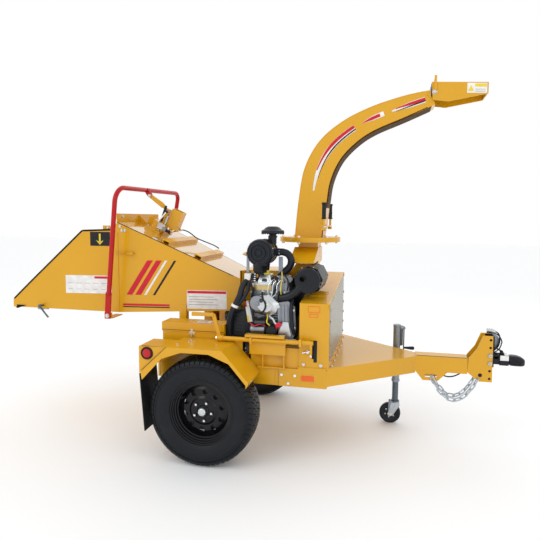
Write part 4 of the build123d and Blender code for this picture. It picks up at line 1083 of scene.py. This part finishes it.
def make_guard_dress():
    """Vented edge, screws and the plain label strip on the belt guard."""
    b = Build("belt_guard_shell", BLACK_PAINT)
    outline = [(-436, 640), (-436, 900), (-424, 916), (-290, 916), (-244, 896), (-222, 852), (192, 852),
               (192, 690), (-180, 640)]
    b.prism(outline, 0, 96, 184)
    b.done("black_paint", replaces=["belt_guard"], bevel=2.0)
    b = Build("belt_guard_dress", BLACK_PAINT)
    for y, z in ((-420, 660), (-420, 896), (-260, 820), (150, 836), (150, 704)):
        b.bolt((96, y, z), -X_AXIS, 7, 6)
        b.bolt((184, y, z), X_AXIS, 7, 6)
    for z in rows(700, 22, 9):
        b.box(112, 168, -438.5, -436, z, z + 8, BLACK_PRINT)
    strip_at = [(184, 970), (208, 976), (238, 842), (206, 836)]
    b.plate(strip_at, -440, 1.0, WHITE)
    for share0, share1, material in ((0.72, 1.0, RED_PRINT), (0.02, 0.30, YELLOW_PRINT)):
        lower = [Vector(strip_at[3]).lerp(Vector(strip_at[0]), s) for s in (share0, share1)]
        upper = [Vector(strip_at[2]).lerp(Vector(strip_at[1]), s) for s in (share0, share1)]
        quad = [lower[0], lower[0].lerp(upper[0], 0.4), lower[1].lerp(upper[1], 0.4), lower[1]]
        b.plate([(p.x, p.y) for p in quad], -441.2, 0.8, material)
    b.prism([(184, 700), (236, 700), (236, 842), (208, 980), (184, 980)], 1, -440, -436)
    b.done("black_paint", bevel=0.4)
    b = Build("feed_motor", MOTOR_GREEN)
    b.lathe([(0, 0), (34, 0), (36, 4), (36, 18), (32, 22), (32, 60), (36, 64), (36, 78)], (-30, -160, 815),
            X_AXIS, steps=36)
    b.box(48, 60, -200, -120, 775, 855)
    b.flow([(-10, -190, 815), (-4, -222, 800), (30, -246, 768), (88, -270, 735)], 9, HOSE, 12)
    b.done("black_paint", bevel=1.5)


def perforated(name, colour, pitch, metallic):
    """Sheet with a regular grid of punched holes, drawn by colour and bump."""
    s = Shader(name, 0.3, metallic, 0.0, 0.05, 1.35)
    split, join = s.add("SeparateXYZ"), s.add("CombineXYZ")
    s.link(s.where, split.inputs[0])
    s.link(split.outputs[1], join.inputs[0])
    s.link(split.outputs[2], join.inputs[1])
    cells = s.add("TexVoronoi")
    cells.voronoi_dimensions = "2D"
    cells.inputs["Scale"].default_value = 1 / (pitch * MM)
    cells.inputs["Randomness"].default_value = 0.0
    s.link(join.outputs[0], cells.inputs["Vector"])
    hole = s.ramp(cells.outputs["Distance"], [(0.27, (1, 1, 1)), (0.33, (0, 0, 0))])
    sheet = s.mix(s.noise(20, 5), shade(colour, 0.8), shade(colour, 1.15))
    s.colour(s.mix(hole, sheet, (0.012, 0.012, 0.012)))
    s.rough(s.noise(50, 4), 0.3, 0.5)
    s.bump(cells.outputs["Distance"], 0.001, 0.4)
    return s.material


GUARD = perforated("perforated_guard", (0.012, 0.015, 0.018), 9, 0.0)
SCREEN = perforated("perforated_screen", (0.52, 0.50, 0.42), 8, 0.8)
make_air_intake()
make_muffler()
make_engine_top()
make_engine_side()
make_guard_dress()
NODES["radiator_screen"].data.materials[0] = SCREEN


# ---- hopper roof and control tower
ROOF_TILT = radians(24)
ROOF_Z, ROOF_SLOPE, END_X = 1459, 0.446, 88


def roof_point(x, share, lift):
    """Point on the roof; share runs from -1 at the near edge to 1 at the far edge."""
    return vec(x, share * (side_y(x) - 3), ROOF_Z - ROOF_SLOPE * (x - FOLD_X) + lift)


def tilted_box(b, centre, size, material=None):
    """Box that leans with the hopper's roof."""
    rings = []
    for end in (-0.5, 0.5):
        points = []
        for sx, sz in ((-0.5, -0.5), (0.5, -0.5), (0.5, 0.5), (-0.5, 0.5)):
            x, z = sx * size[0], sz * size[2]
            points.append((centre[0] + x * cos(ROOF_TILT) + z * sin(ROOF_TILT), centre[1] + end * size[1],
                           centre[2] - x * sin(ROOF_TILT) + z * cos(ROOF_TILT)))
        rings.append(points)
    b.loft(rings, material)


def make_roof():
    """Gloss skin of the hopper's roof, and dark lines of painted shade along roof, mouth and lower corners.
    """
    b = Build("hopper_roof_sheet", ROOF_PAINT)
    corners = [roof_point(FOLD_X + 8, -1, 0.7), roof_point(END_X - 4, -1, 0.7),
               roof_point(END_X - 4, 1, 0.7), roof_point(FOLD_X + 8, 1, 0.7)]
    b.slab(corners, Z_AXIS, 1.2)
    b.done("yellow_paint")
    # Dark lines of painted shade: the shadowed sheet edge along the flared mouth and the shadow gap along
    # the roof's edges.
    b = Build("hopper_shade_lines", BLACK_PRINT)
    for side in (-1, 1):
        line = [vec(x, side * (side_y(x) + 0.2), ROOF_Z - ROOF_SLOPE * (x - FOLD_X)) for x in
                rows(FOLD_X + 2, 42, 21)]
        b.hose(line[:-1], 2.4, MATTE_BLACK, 8)
        edge = [(MOUTH_X + 7, 921), (-1380, 1046), (-1260, 1160), (-1130, 1283), (-1008, 1399),
                (-996, 1402), (-900, 1405.5), (-802, 1409)]
        b.hose([vec(x, side * (side_y(x) - 2.5), z - 2) for x, z in edge], 6.5, MATTE_BLACK, 8)
        y = side * (side_y(-1500) - 1)
        b.prism([(-1512, 876), (-1511, 862), (-1492, 848), (-1424, 870)], 1, min(y, y - side * 14),
                max(y, y - side * 14), MATTE_BLACK)
    b.done("black_rubber")


def make_tower():
    """Foot blocks, valve, lever rod, fittings and screws of the control tower."""
    b = Build("hopper_stubs", PAINT)
    for side in (-1, 1):
        y = side * side_y(-665)
        b.box(-694, -636, min(y, y + side * 24), max(y, y + side * 24), 1240, 1255)
    b.done("yellow_paint", bevel=1.2)
    b = Build("pin_spring", CHAIN_ZINC)
    b.rod((-1388, -346, 836), (-1300, -346, 838), 5.5, CHAIN_ZINC, 20, 1)
    for x in rows(-1380, 9, 5):
        b.lathe([(7, 0), (8.5, 2), (7, 4)], (x, -346, 836.6), X_AXIS, steps=20)
    b.done("zinc", "apron_pin")
    b = Build("tower_foot", PAINT)
    tilted_box(b, (-578, -26, 1432), (88, 84, 70), PAINT)
    tilted_box(b, (-612, -44, 1402), (120, 96, 26), PAINT)
    tilted_box(b, (-640, 30, 1432), (6, 110, 84), PAINT)
    for x, y in ((-650, -76), (-570, -78), (-650, 60)):
        b.bolt(roof_point(x, y / side_y(x), 24), (0.4, 0, 1), 7, 6)
    b.prism([(-700, 1440), (-672, 1500), (-625, 1512), (-640, 1410)], 1, 6, 11)
    b.done("yellow_paint", bevel=1.4)
    b = Build("valve_body", ALLOY)
    b.rod((-549, -70, 1464), (-508, -70, 1578), 9, BLACK_PLASTIC, 24, 2)
    b.rod((-565, -86, 1462), (-503, -84, 1531), 6.5, CHROME, 20, 1.5)
    b.lathe([(12, 0), (12, 12), (9, 14)], (-503, -84, 1531), (0.66, 0, 0.74), BLACK_PLASTIC, 20)
    tilted_box(b, (-545, -74, 1430), (54, 26, 42), BRIGHT_ALLOY)
    tilted_box(b, (-520, -78, 1410), (30, 30, 26), ALLOY)
    b.rod((-512, -78, 1402), (-478, -76, 1388), 11, BLACK_PLASTIC, 8, 2)
    b.rod((-482, -70, 1400), (-462, -66, 1384), 8, BRASS, 6, 1)
    b.rod((-500, -70, 1376), (-474, -60, 1372), 7, BRASS, 6, 1)
    b.rod((-470, -30, 1392), (-436, 40, 1402), 6, BRASS, 6, 1)
    b.lathe([(9, 0), (9, 16), (6, 20)], (-444, 30, 1402), (0.4, 0.9, 0.1), PLATED, 12)
    b.rod((-534, -43, 1440), (-506, -43, 1504), 9, BRIGHT_ALLOY, 20, 2)
    b.done("chrome", replaces=["control_valve"], bevel=0.8)
    b = Build("link_pins", PLATED)
    for side in (-1, 1):
        b.bolt((-640, -53 + side * 13, 1650), (0, side, 0), 9, 7)
    b.done("zinc", "control_bar")
    b = Build("bar_pivots", PLATED)
    for side in (-1, 1):
        b.bolt((-772, side * 456, 832), (0, side, 0), 11, 8)
        b.hose([vec(-760 + 5 * cos(a), side * 451, 978) + vec(16.5 * cos(a), side * 16.5 * sin(a), 0)
                for a in rows(0, 0.5, 13)], 3, RED, 8)
    b.done("zinc", "control_bar")


# ---- guards, battery box and clutch
def frame_label(b, x0, x1, z0, z1):
    """Small outlined plate on the near face of the radiator casing."""
    for inset, y, thickness, material in ((0, -498.6, 0.6, AMBER), (4, -499.2, 0.5, PAINT)):
        b.plate([(x0 + inset, z0 + inset), (x1 - inset, z0 + inset), (x1 - inset, z1 - inset),
                 (x0 + inset, z1 - inset)], y, thickness, material)


LATCH = (-150, -494, 752)


def make_side_fittings():
    """Battery latch and label, clutch fittings, casing hardware, welds and seams of the frame, and painted
    shade: dark slabs in the casing's slot and a dark line under the lid's lip.
    """
    b = Build("battery_latch", BRASS)
    b.box(-174, -126, -494, -491, 738, 772, PAINT)
    b.lathe([(19, 0), (19, 2), (16, 3)], LATCH, -Y_AXIS, PLATED, 24)
    b.lathe([(14, 2), (14, 5), (11, 7), (11, 9), (7, 10)], LATCH, -Y_AXIS, steps=24)
    b.boxes((-153, -147, -509, -503, 738, 766), (-158, -142, -499.6, -491, 764, 766), material=PLATED)
    b.done("zinc", bevel=0.8)
    b = Build("battery_lid_label", WHITE)
    b.slab([(-132, -470, 821.2), (-36, -470, 821.2), (-36, -404, 821.2), (-132, -404, 821.2)], Z_AXIS, 0.7)
    for k in range(4):
        b.slab([(-124, -460 + 14 * k, 822), (-60, -460 + 14 * k, 822), (-60, -456 + 14 * k, 822),
                (-124, -456 + 14 * k, 822)], Z_AXIS, 0.4, GREY_PRINT)
    b.box(-157, -143, -499.5, -496.2, 767, 786, PLATED)
    # Dark line along the bottom of the lid's lip: the seam, with painted shade under the lip.
    b.box(-356, 66, -497.4, -496, 771.5, 774, BLACK_PRINT)
    b.done("yellow_paint", "battery_lid")
    b = Build("clutch_fittings", PLATED)
    b.bolt((38, -543, 748), -X_AXIS, 12, 8, CHROME)
    for x in (242, 576):
        b.lathe([(17, 0), (18, 1), (18, 9), (17, 10)], (x, -543, 748), X_AXIS, PAINT, 28)
    b.rod((628, -558, 672), (628, -528, 672), 7, CHROME, 16, 1)
    b.done("zinc", "clutch_lever")
    b = Build("casing_fittings", PLATED)
    # Dark slab deep in the casing's slot: painted shade inside the opening.
    b.box(605, 651, -446, -443, 620, 768, BLACK_PRINT)
    b.rod((600, -498, 683), (600, -516, 683), 6, CHROME, 16, 1)
    b.rod((568, -511, 677), (616, -511, 689), 4.5, CHROME, 12, 1)
    # Dark slab across the slot's mouth, clear of the crank: painted shade inside the opening.
    b.box(637, 658, -498.7, -497.6, 620, 756, BLACK_PRINT)
    b.lathe([(13, 0), (13, 4), (10, 8)], (600, -498, 683), -Y_AXIS, CHROME, 20)
    b.near_bolts(-504, 8, 6, (577, 605), (683, 605))
    frame_label(b, 599, 673, 927, 966)
    frame_label(b, 606, 661, 898, 919)
    for y in rows(-440, 140, 7):
        b.bolt((742, y, 586), Z_AXIS, 8, 6)
    for k in range(3):
        y = -330 + 46 * k
        z = 981 + (y + 498) * 0.1135
        b.prism([(y, z), (y + 30, z + 3.4), (y + 24, z + 12), (y + 4, z + 9)], 0, 588, 690, PAINT)
    for y, z in ((-498, 981), (424, 1085)):
        b.box(724, 733, y, y + 3, z - 30, z, PAINT)
    b.done("zinc", bevel=0.8)
    b = Build("rail_seams", BLACK_PRINT)
    for side in (-1, 1):
        b.hose([(-366, side * 772.6, 578), (-203, side * 772.6, 730), (-362, side * 772.6, 728)], 1.4,
               steps=6)
    b.hose([(x, -54.6, 594) for x in rows(1262, 32, 11)], 1.6, steps=6)
    for side in (-1, 1):
        b.box(421.4, 423, side * 498, side * 503.6, 461, 571)
        for x in (-372, 130, 400):
            b.hose([(x, side * 498.3, z) for z in rows(463, 9, 12)], 2.2, PAINT, 8, 0.5)
    b.near_bolts(-524, 7, 5, (225, 738), (462, 738))
    b.boxes((240, 566, -488, -482, 573, 696), (220, 465, -562, -522, 767, 783), material=PAINT)
    b.done("yellow_paint")


# ---- hitch, chains and jack
LINK_HALF, LINK_BEND, LINK_WIRE = 13, 12.5, 5.0
CHAINS = [((1364, -64, 452), (1650, -64, 464), 146), ((1370, -14, 452), (1652, 40, 464), 142)]
CHAIN_LINKS = 10


def chain_link(b, at, along, up):
    """Welded link: a round bar bent to a stadium."""
    at, along = Vector(at), Vector(along).normalized()
    up = (Vector(up) - along * along.dot(Vector(up))).normalized()
    normal = along.cross(up)
    rings = []
    for k in range(20):
        turn = tau * (k + 0.5) / 20
        centre = along * (LINK_HALF if cos(turn) > 0 else -LINK_HALF)
        out = along * cos(turn) + up * sin(turn)
        middle = at + centre + out * LINK_BEND
        rings.append([middle + LINK_WIRE * (cos(a) * out + sin(a) * normal) for a in rows(0, tau / 8, 8)])
    b.loft(rings, CHAIN_ZINC, closed=True)


def make_chains():
    """Two chains, their links at an even pitch along the hanging line."""
    b = Build("chains", CHAIN_ZINC)
    for start, end, drop in CHAINS:
        start, end = Vector(start), Vector(end)
        line = [start.lerp(end, t / 200) - vec(0, 0, 4 * drop * t / 200 * (1 - t / 200)) for t in range(201)]
        reach = [0.0]
        for here, there in zip(line, line[1:]):
            reach.append(reach[-1] + (there - here).length)
        for k in range(CHAIN_LINKS):
            i = min(range(201), key=lambda j: abs(reach[j] - reach[-1] * (k + 0.5) / CHAIN_LINKS))
            along = line[min(i + 1, 200)] - line[max(i - 1, 0)]
            up = (Y_AXIS + Z_AXIS * 0.35) if k % 2 else (Z_AXIS - Y_AXIS * 0.35)
            chain_link(b, line[i], along, up)
    b.done("zinc", replaces=["safety_chains"])


def squircle(x, half, low, high):
    """Rounded rectangle across the coupler at x."""
    middle, tall = (low + high) / 2, (high - low) / 2
    points, steps = [], 28
    for k in range(steps):
        c, s = cos(tau * k / steps), sin(tau * k / steps)
        grow = (abs(c) ** 4 + abs(s) ** 4) ** -0.25
        points.append(vec(x, half * c * grow, middle + tall * s * grow))
    return points


def make_coupler():
    """Black coupler: channel, square neck with a white wrap, and the ribbed head over the ball."""
    b = Build("coupler_head", BLACK_PAINT)
    profile = [(1836, 28, 564, 610), (1842, 33, 558, 616), (1850, 36, 553, 619), (1866, 39, 552, 620),
               (1890, 41, 552, 618), (1912, 40, 552, 612), (1926, 34, 554, 604), (1935, 25, 558, 597),
               (1938.5, 14, 564, 590)]
    b.loft([squircle(*row) for row in profile])
    head = b.done("black_paint", replaces=["coupler"])
    ball = [(25.8 * sin(a), -25.8 * cos(a)) for a in rows(0, pi / 16, 17)]
    tool = Build("ball").lathe(ball, (1893, 0, 548), Z_AXIS, BLACK_PAINT, 40).done()
    carve(head, [tool])
    soften(head, 1.5)
    b = Build("coupler_neck", BLACK_PAINT)
    for y in (-45.5, 38):
        b.boxes((1700, 1738, y, y + 7.5, 450, 742), (1640, 1684, y, y + 7.5, 462, 500))
    b.boxes((1738.5, 1745, -45.5, 45.5, 542, 744), (1731, 1737, -45.5, 45.5, 448, 541),
            (1744, 1777, -31, 31, 560, 611), (1777, 1782, -31, 31, 560, 596),
            (1744, 1782, -31, -10, 596, 624), (1744, 1782, 10, 31, 596, 624),
            (1782, 1837, -38, 38, 556, 600))
    for y in (-38, 8.6):
        b.boxes((1782, 1837, y, y + 29.4, 599, 622),
                (1790, 1810, -20 if y < 0 else 11, -11 if y < 0 else 20, 620, 638))
    for side in (-1, 1):
        b.rod((1800, side * 10, 628), (1800, side * 23, 628), 4, steps=16)
    for y in (-38.9, 38.1):
        b.box(1784, 1836, y, y + 0.8, 588, 621, WHITE)
    b.box(1814, 1836, -38, 38, 622, 622.8, WHITE)
    for k in range(5):
        z = 566 + 10 * k
        for side in (-1, 1):
            b.hose([(1848, side * 37.5, z), (1866, side * 40, z), (1890, side * 42, z - 0.4 * k),
                    (1914, side * 40.5, z - 1.2 * k)], 2, steps=8)
    b.done("black_paint", bevel=1.2)
    b = Build("hitch_bolts_dress", PLATED)
    for z in (568, 619):
        b.lathe([(15, 0), (15, 2.5), (10, 2.5)], (1721, -54, z), -Y_AXIS, ZINC, 32)
        b.lathe([(11, 3), (11, 12), (9, 13), (0, 13)], (1721, -54, z), -Y_AXIS, BRASS, 6)
    b.done("zinc")
    b = Build("lead_coil", RUBBER)
    coil = []
    for k in range(37):
        a = tau * k / 36
        coil.append((1740 + (70 - 0.06 * k) * cos(a), 62 + 0.2 * k, 679 + (70 - 0.06 * k) * sin(a)))
    b.hose(coil, 4.0, steps=10)
    b.lathe([(0, 0), (62, 0), (64, 2), (64, 4), (0, 6)], (1738, 80, 679), Y_AXIS, ZINC, 48)
    b.done("black_rubber")


JACK_X, JACK_Y = 1136, 250
CASTER = vec(1102, 250, 76)


def make_jack():
    """Crank and its grip, the tube's cap and collar, the caster's tyre, cheeks and bolts."""
    b = Build("jack_crank_handle", IRON)
    b.rod((1163, 250, 712), (1200, 250, 712), 7, PLATED, 20, 1)
    b.box(1181, 1190, 240, 260, 556, 722, DARK_ZINC)
    b.done("zinc", "jack_crank", replaces=["jack_crank"], bevel=3.0)
    b = Build("jack_crank_grip", BLACK_PLASTIC)
    b.lathe([(5, 0), (8, 4), (9, 18), (12, 44), (13, 60), (11, 68), (6, 71), (0, 72)], (1190, 250, 566),
            X_AXIS, steps=28)
    b.done("black_plastic", "jack_crank")
    b = Build("jack_dress", ZINC)
    b.lathe([(27.5, 0), (28, 2), (28, 12), (24, 17), (0, 18)], (JACK_X, JACK_Y, 717.5), Z_AXIS, steps=40)
    b.lathe([(26, 0), (29, 1), (29, 18), (26, 20)], (JACK_X, JACK_Y, 314), Z_AXIS, steps=40)
    b.box(1132, 1140, 222, 226, 330, 716)
    b.rod((1166, 250, 582), (1166, 250, 708), 13, DARK_ZINC, 28, 2)
    b.lathe([(15, 0), (17, 2), (17, 14), (14, 20)], (1160, 250, 712), X_AXIS, steps=28)
    b.near_bolts(216, 9, 7, (JACK_X, 555))
    b.done("zinc", bevel=0.8)
    b = Build("caster_tyre", BLACK_PLASTIC)
    tyre_shape = [(7, -24), (14, -24), (16, -19), (20, -14), (50, -13), (56, -17), (66, -19), (72, -17),
                  (75.4, -12), (76, -6), (76, 6), (75.4, 12), (72, 17), (66, 19), (56, 17), (50, 13),
                  (20, 14), (16, 19), (14, 21), (7, 21)]
    b.lathe(tyre_shape, CASTER, Y_AXIS, BLACK_PLASTIC, 64, True)
    wheel = b.done("black_rubber", "caster_wheel", replaces=["caster_wheel"])
    tools = []
    for k in range(6):
        a = radians(60 * k + 20)
        at = vec(CASTER.x + 35 * cos(a), CASTER.y, CASTER.z + 35 * sin(a))
        tools.append(Build("hole").rod(at - Y_AXIS * 30, at + Y_AXIS * 30, 7, BLACK_PLASTIC, 20).done())
    carve(wheel, tools)
    soften(wheel, 1.0)
    b = Build("caster_cheeks", CHAIN_ZINC)
    for y in (222, 272):
        b.prism([(1112, 168), (1168, 160), (1170, 140), (1124, 64), (1108, 54), (1090, 58), (1084, 72),
                 (1096, 92)], 1, y, y + 6)
    b.box(1108, 1168, 222, 278, 158, 166)
    b.done("zinc", "caster_fork", bevel=1.2)
    b = Build("caster_bolts", PLATED)
    b.bolt((1102, 220.5, 76), -Y_AXIS, 10, 7)
    b.bolt((1102, 279.5, 76), Y_AXIS, 10, 7)
    b.bolt((JACK_X, JACK_Y, 156), -Z_AXIS, 12, 8)
    b.done("zinc", "caster_fork")


ROOF_PAINT = painted("roof_paint", shade(YELLOW, 0.95), 0.10, 1.0)
make_roof()
make_tower()
make_side_fittings()
make_chains()
make_coupler()
make_jack()
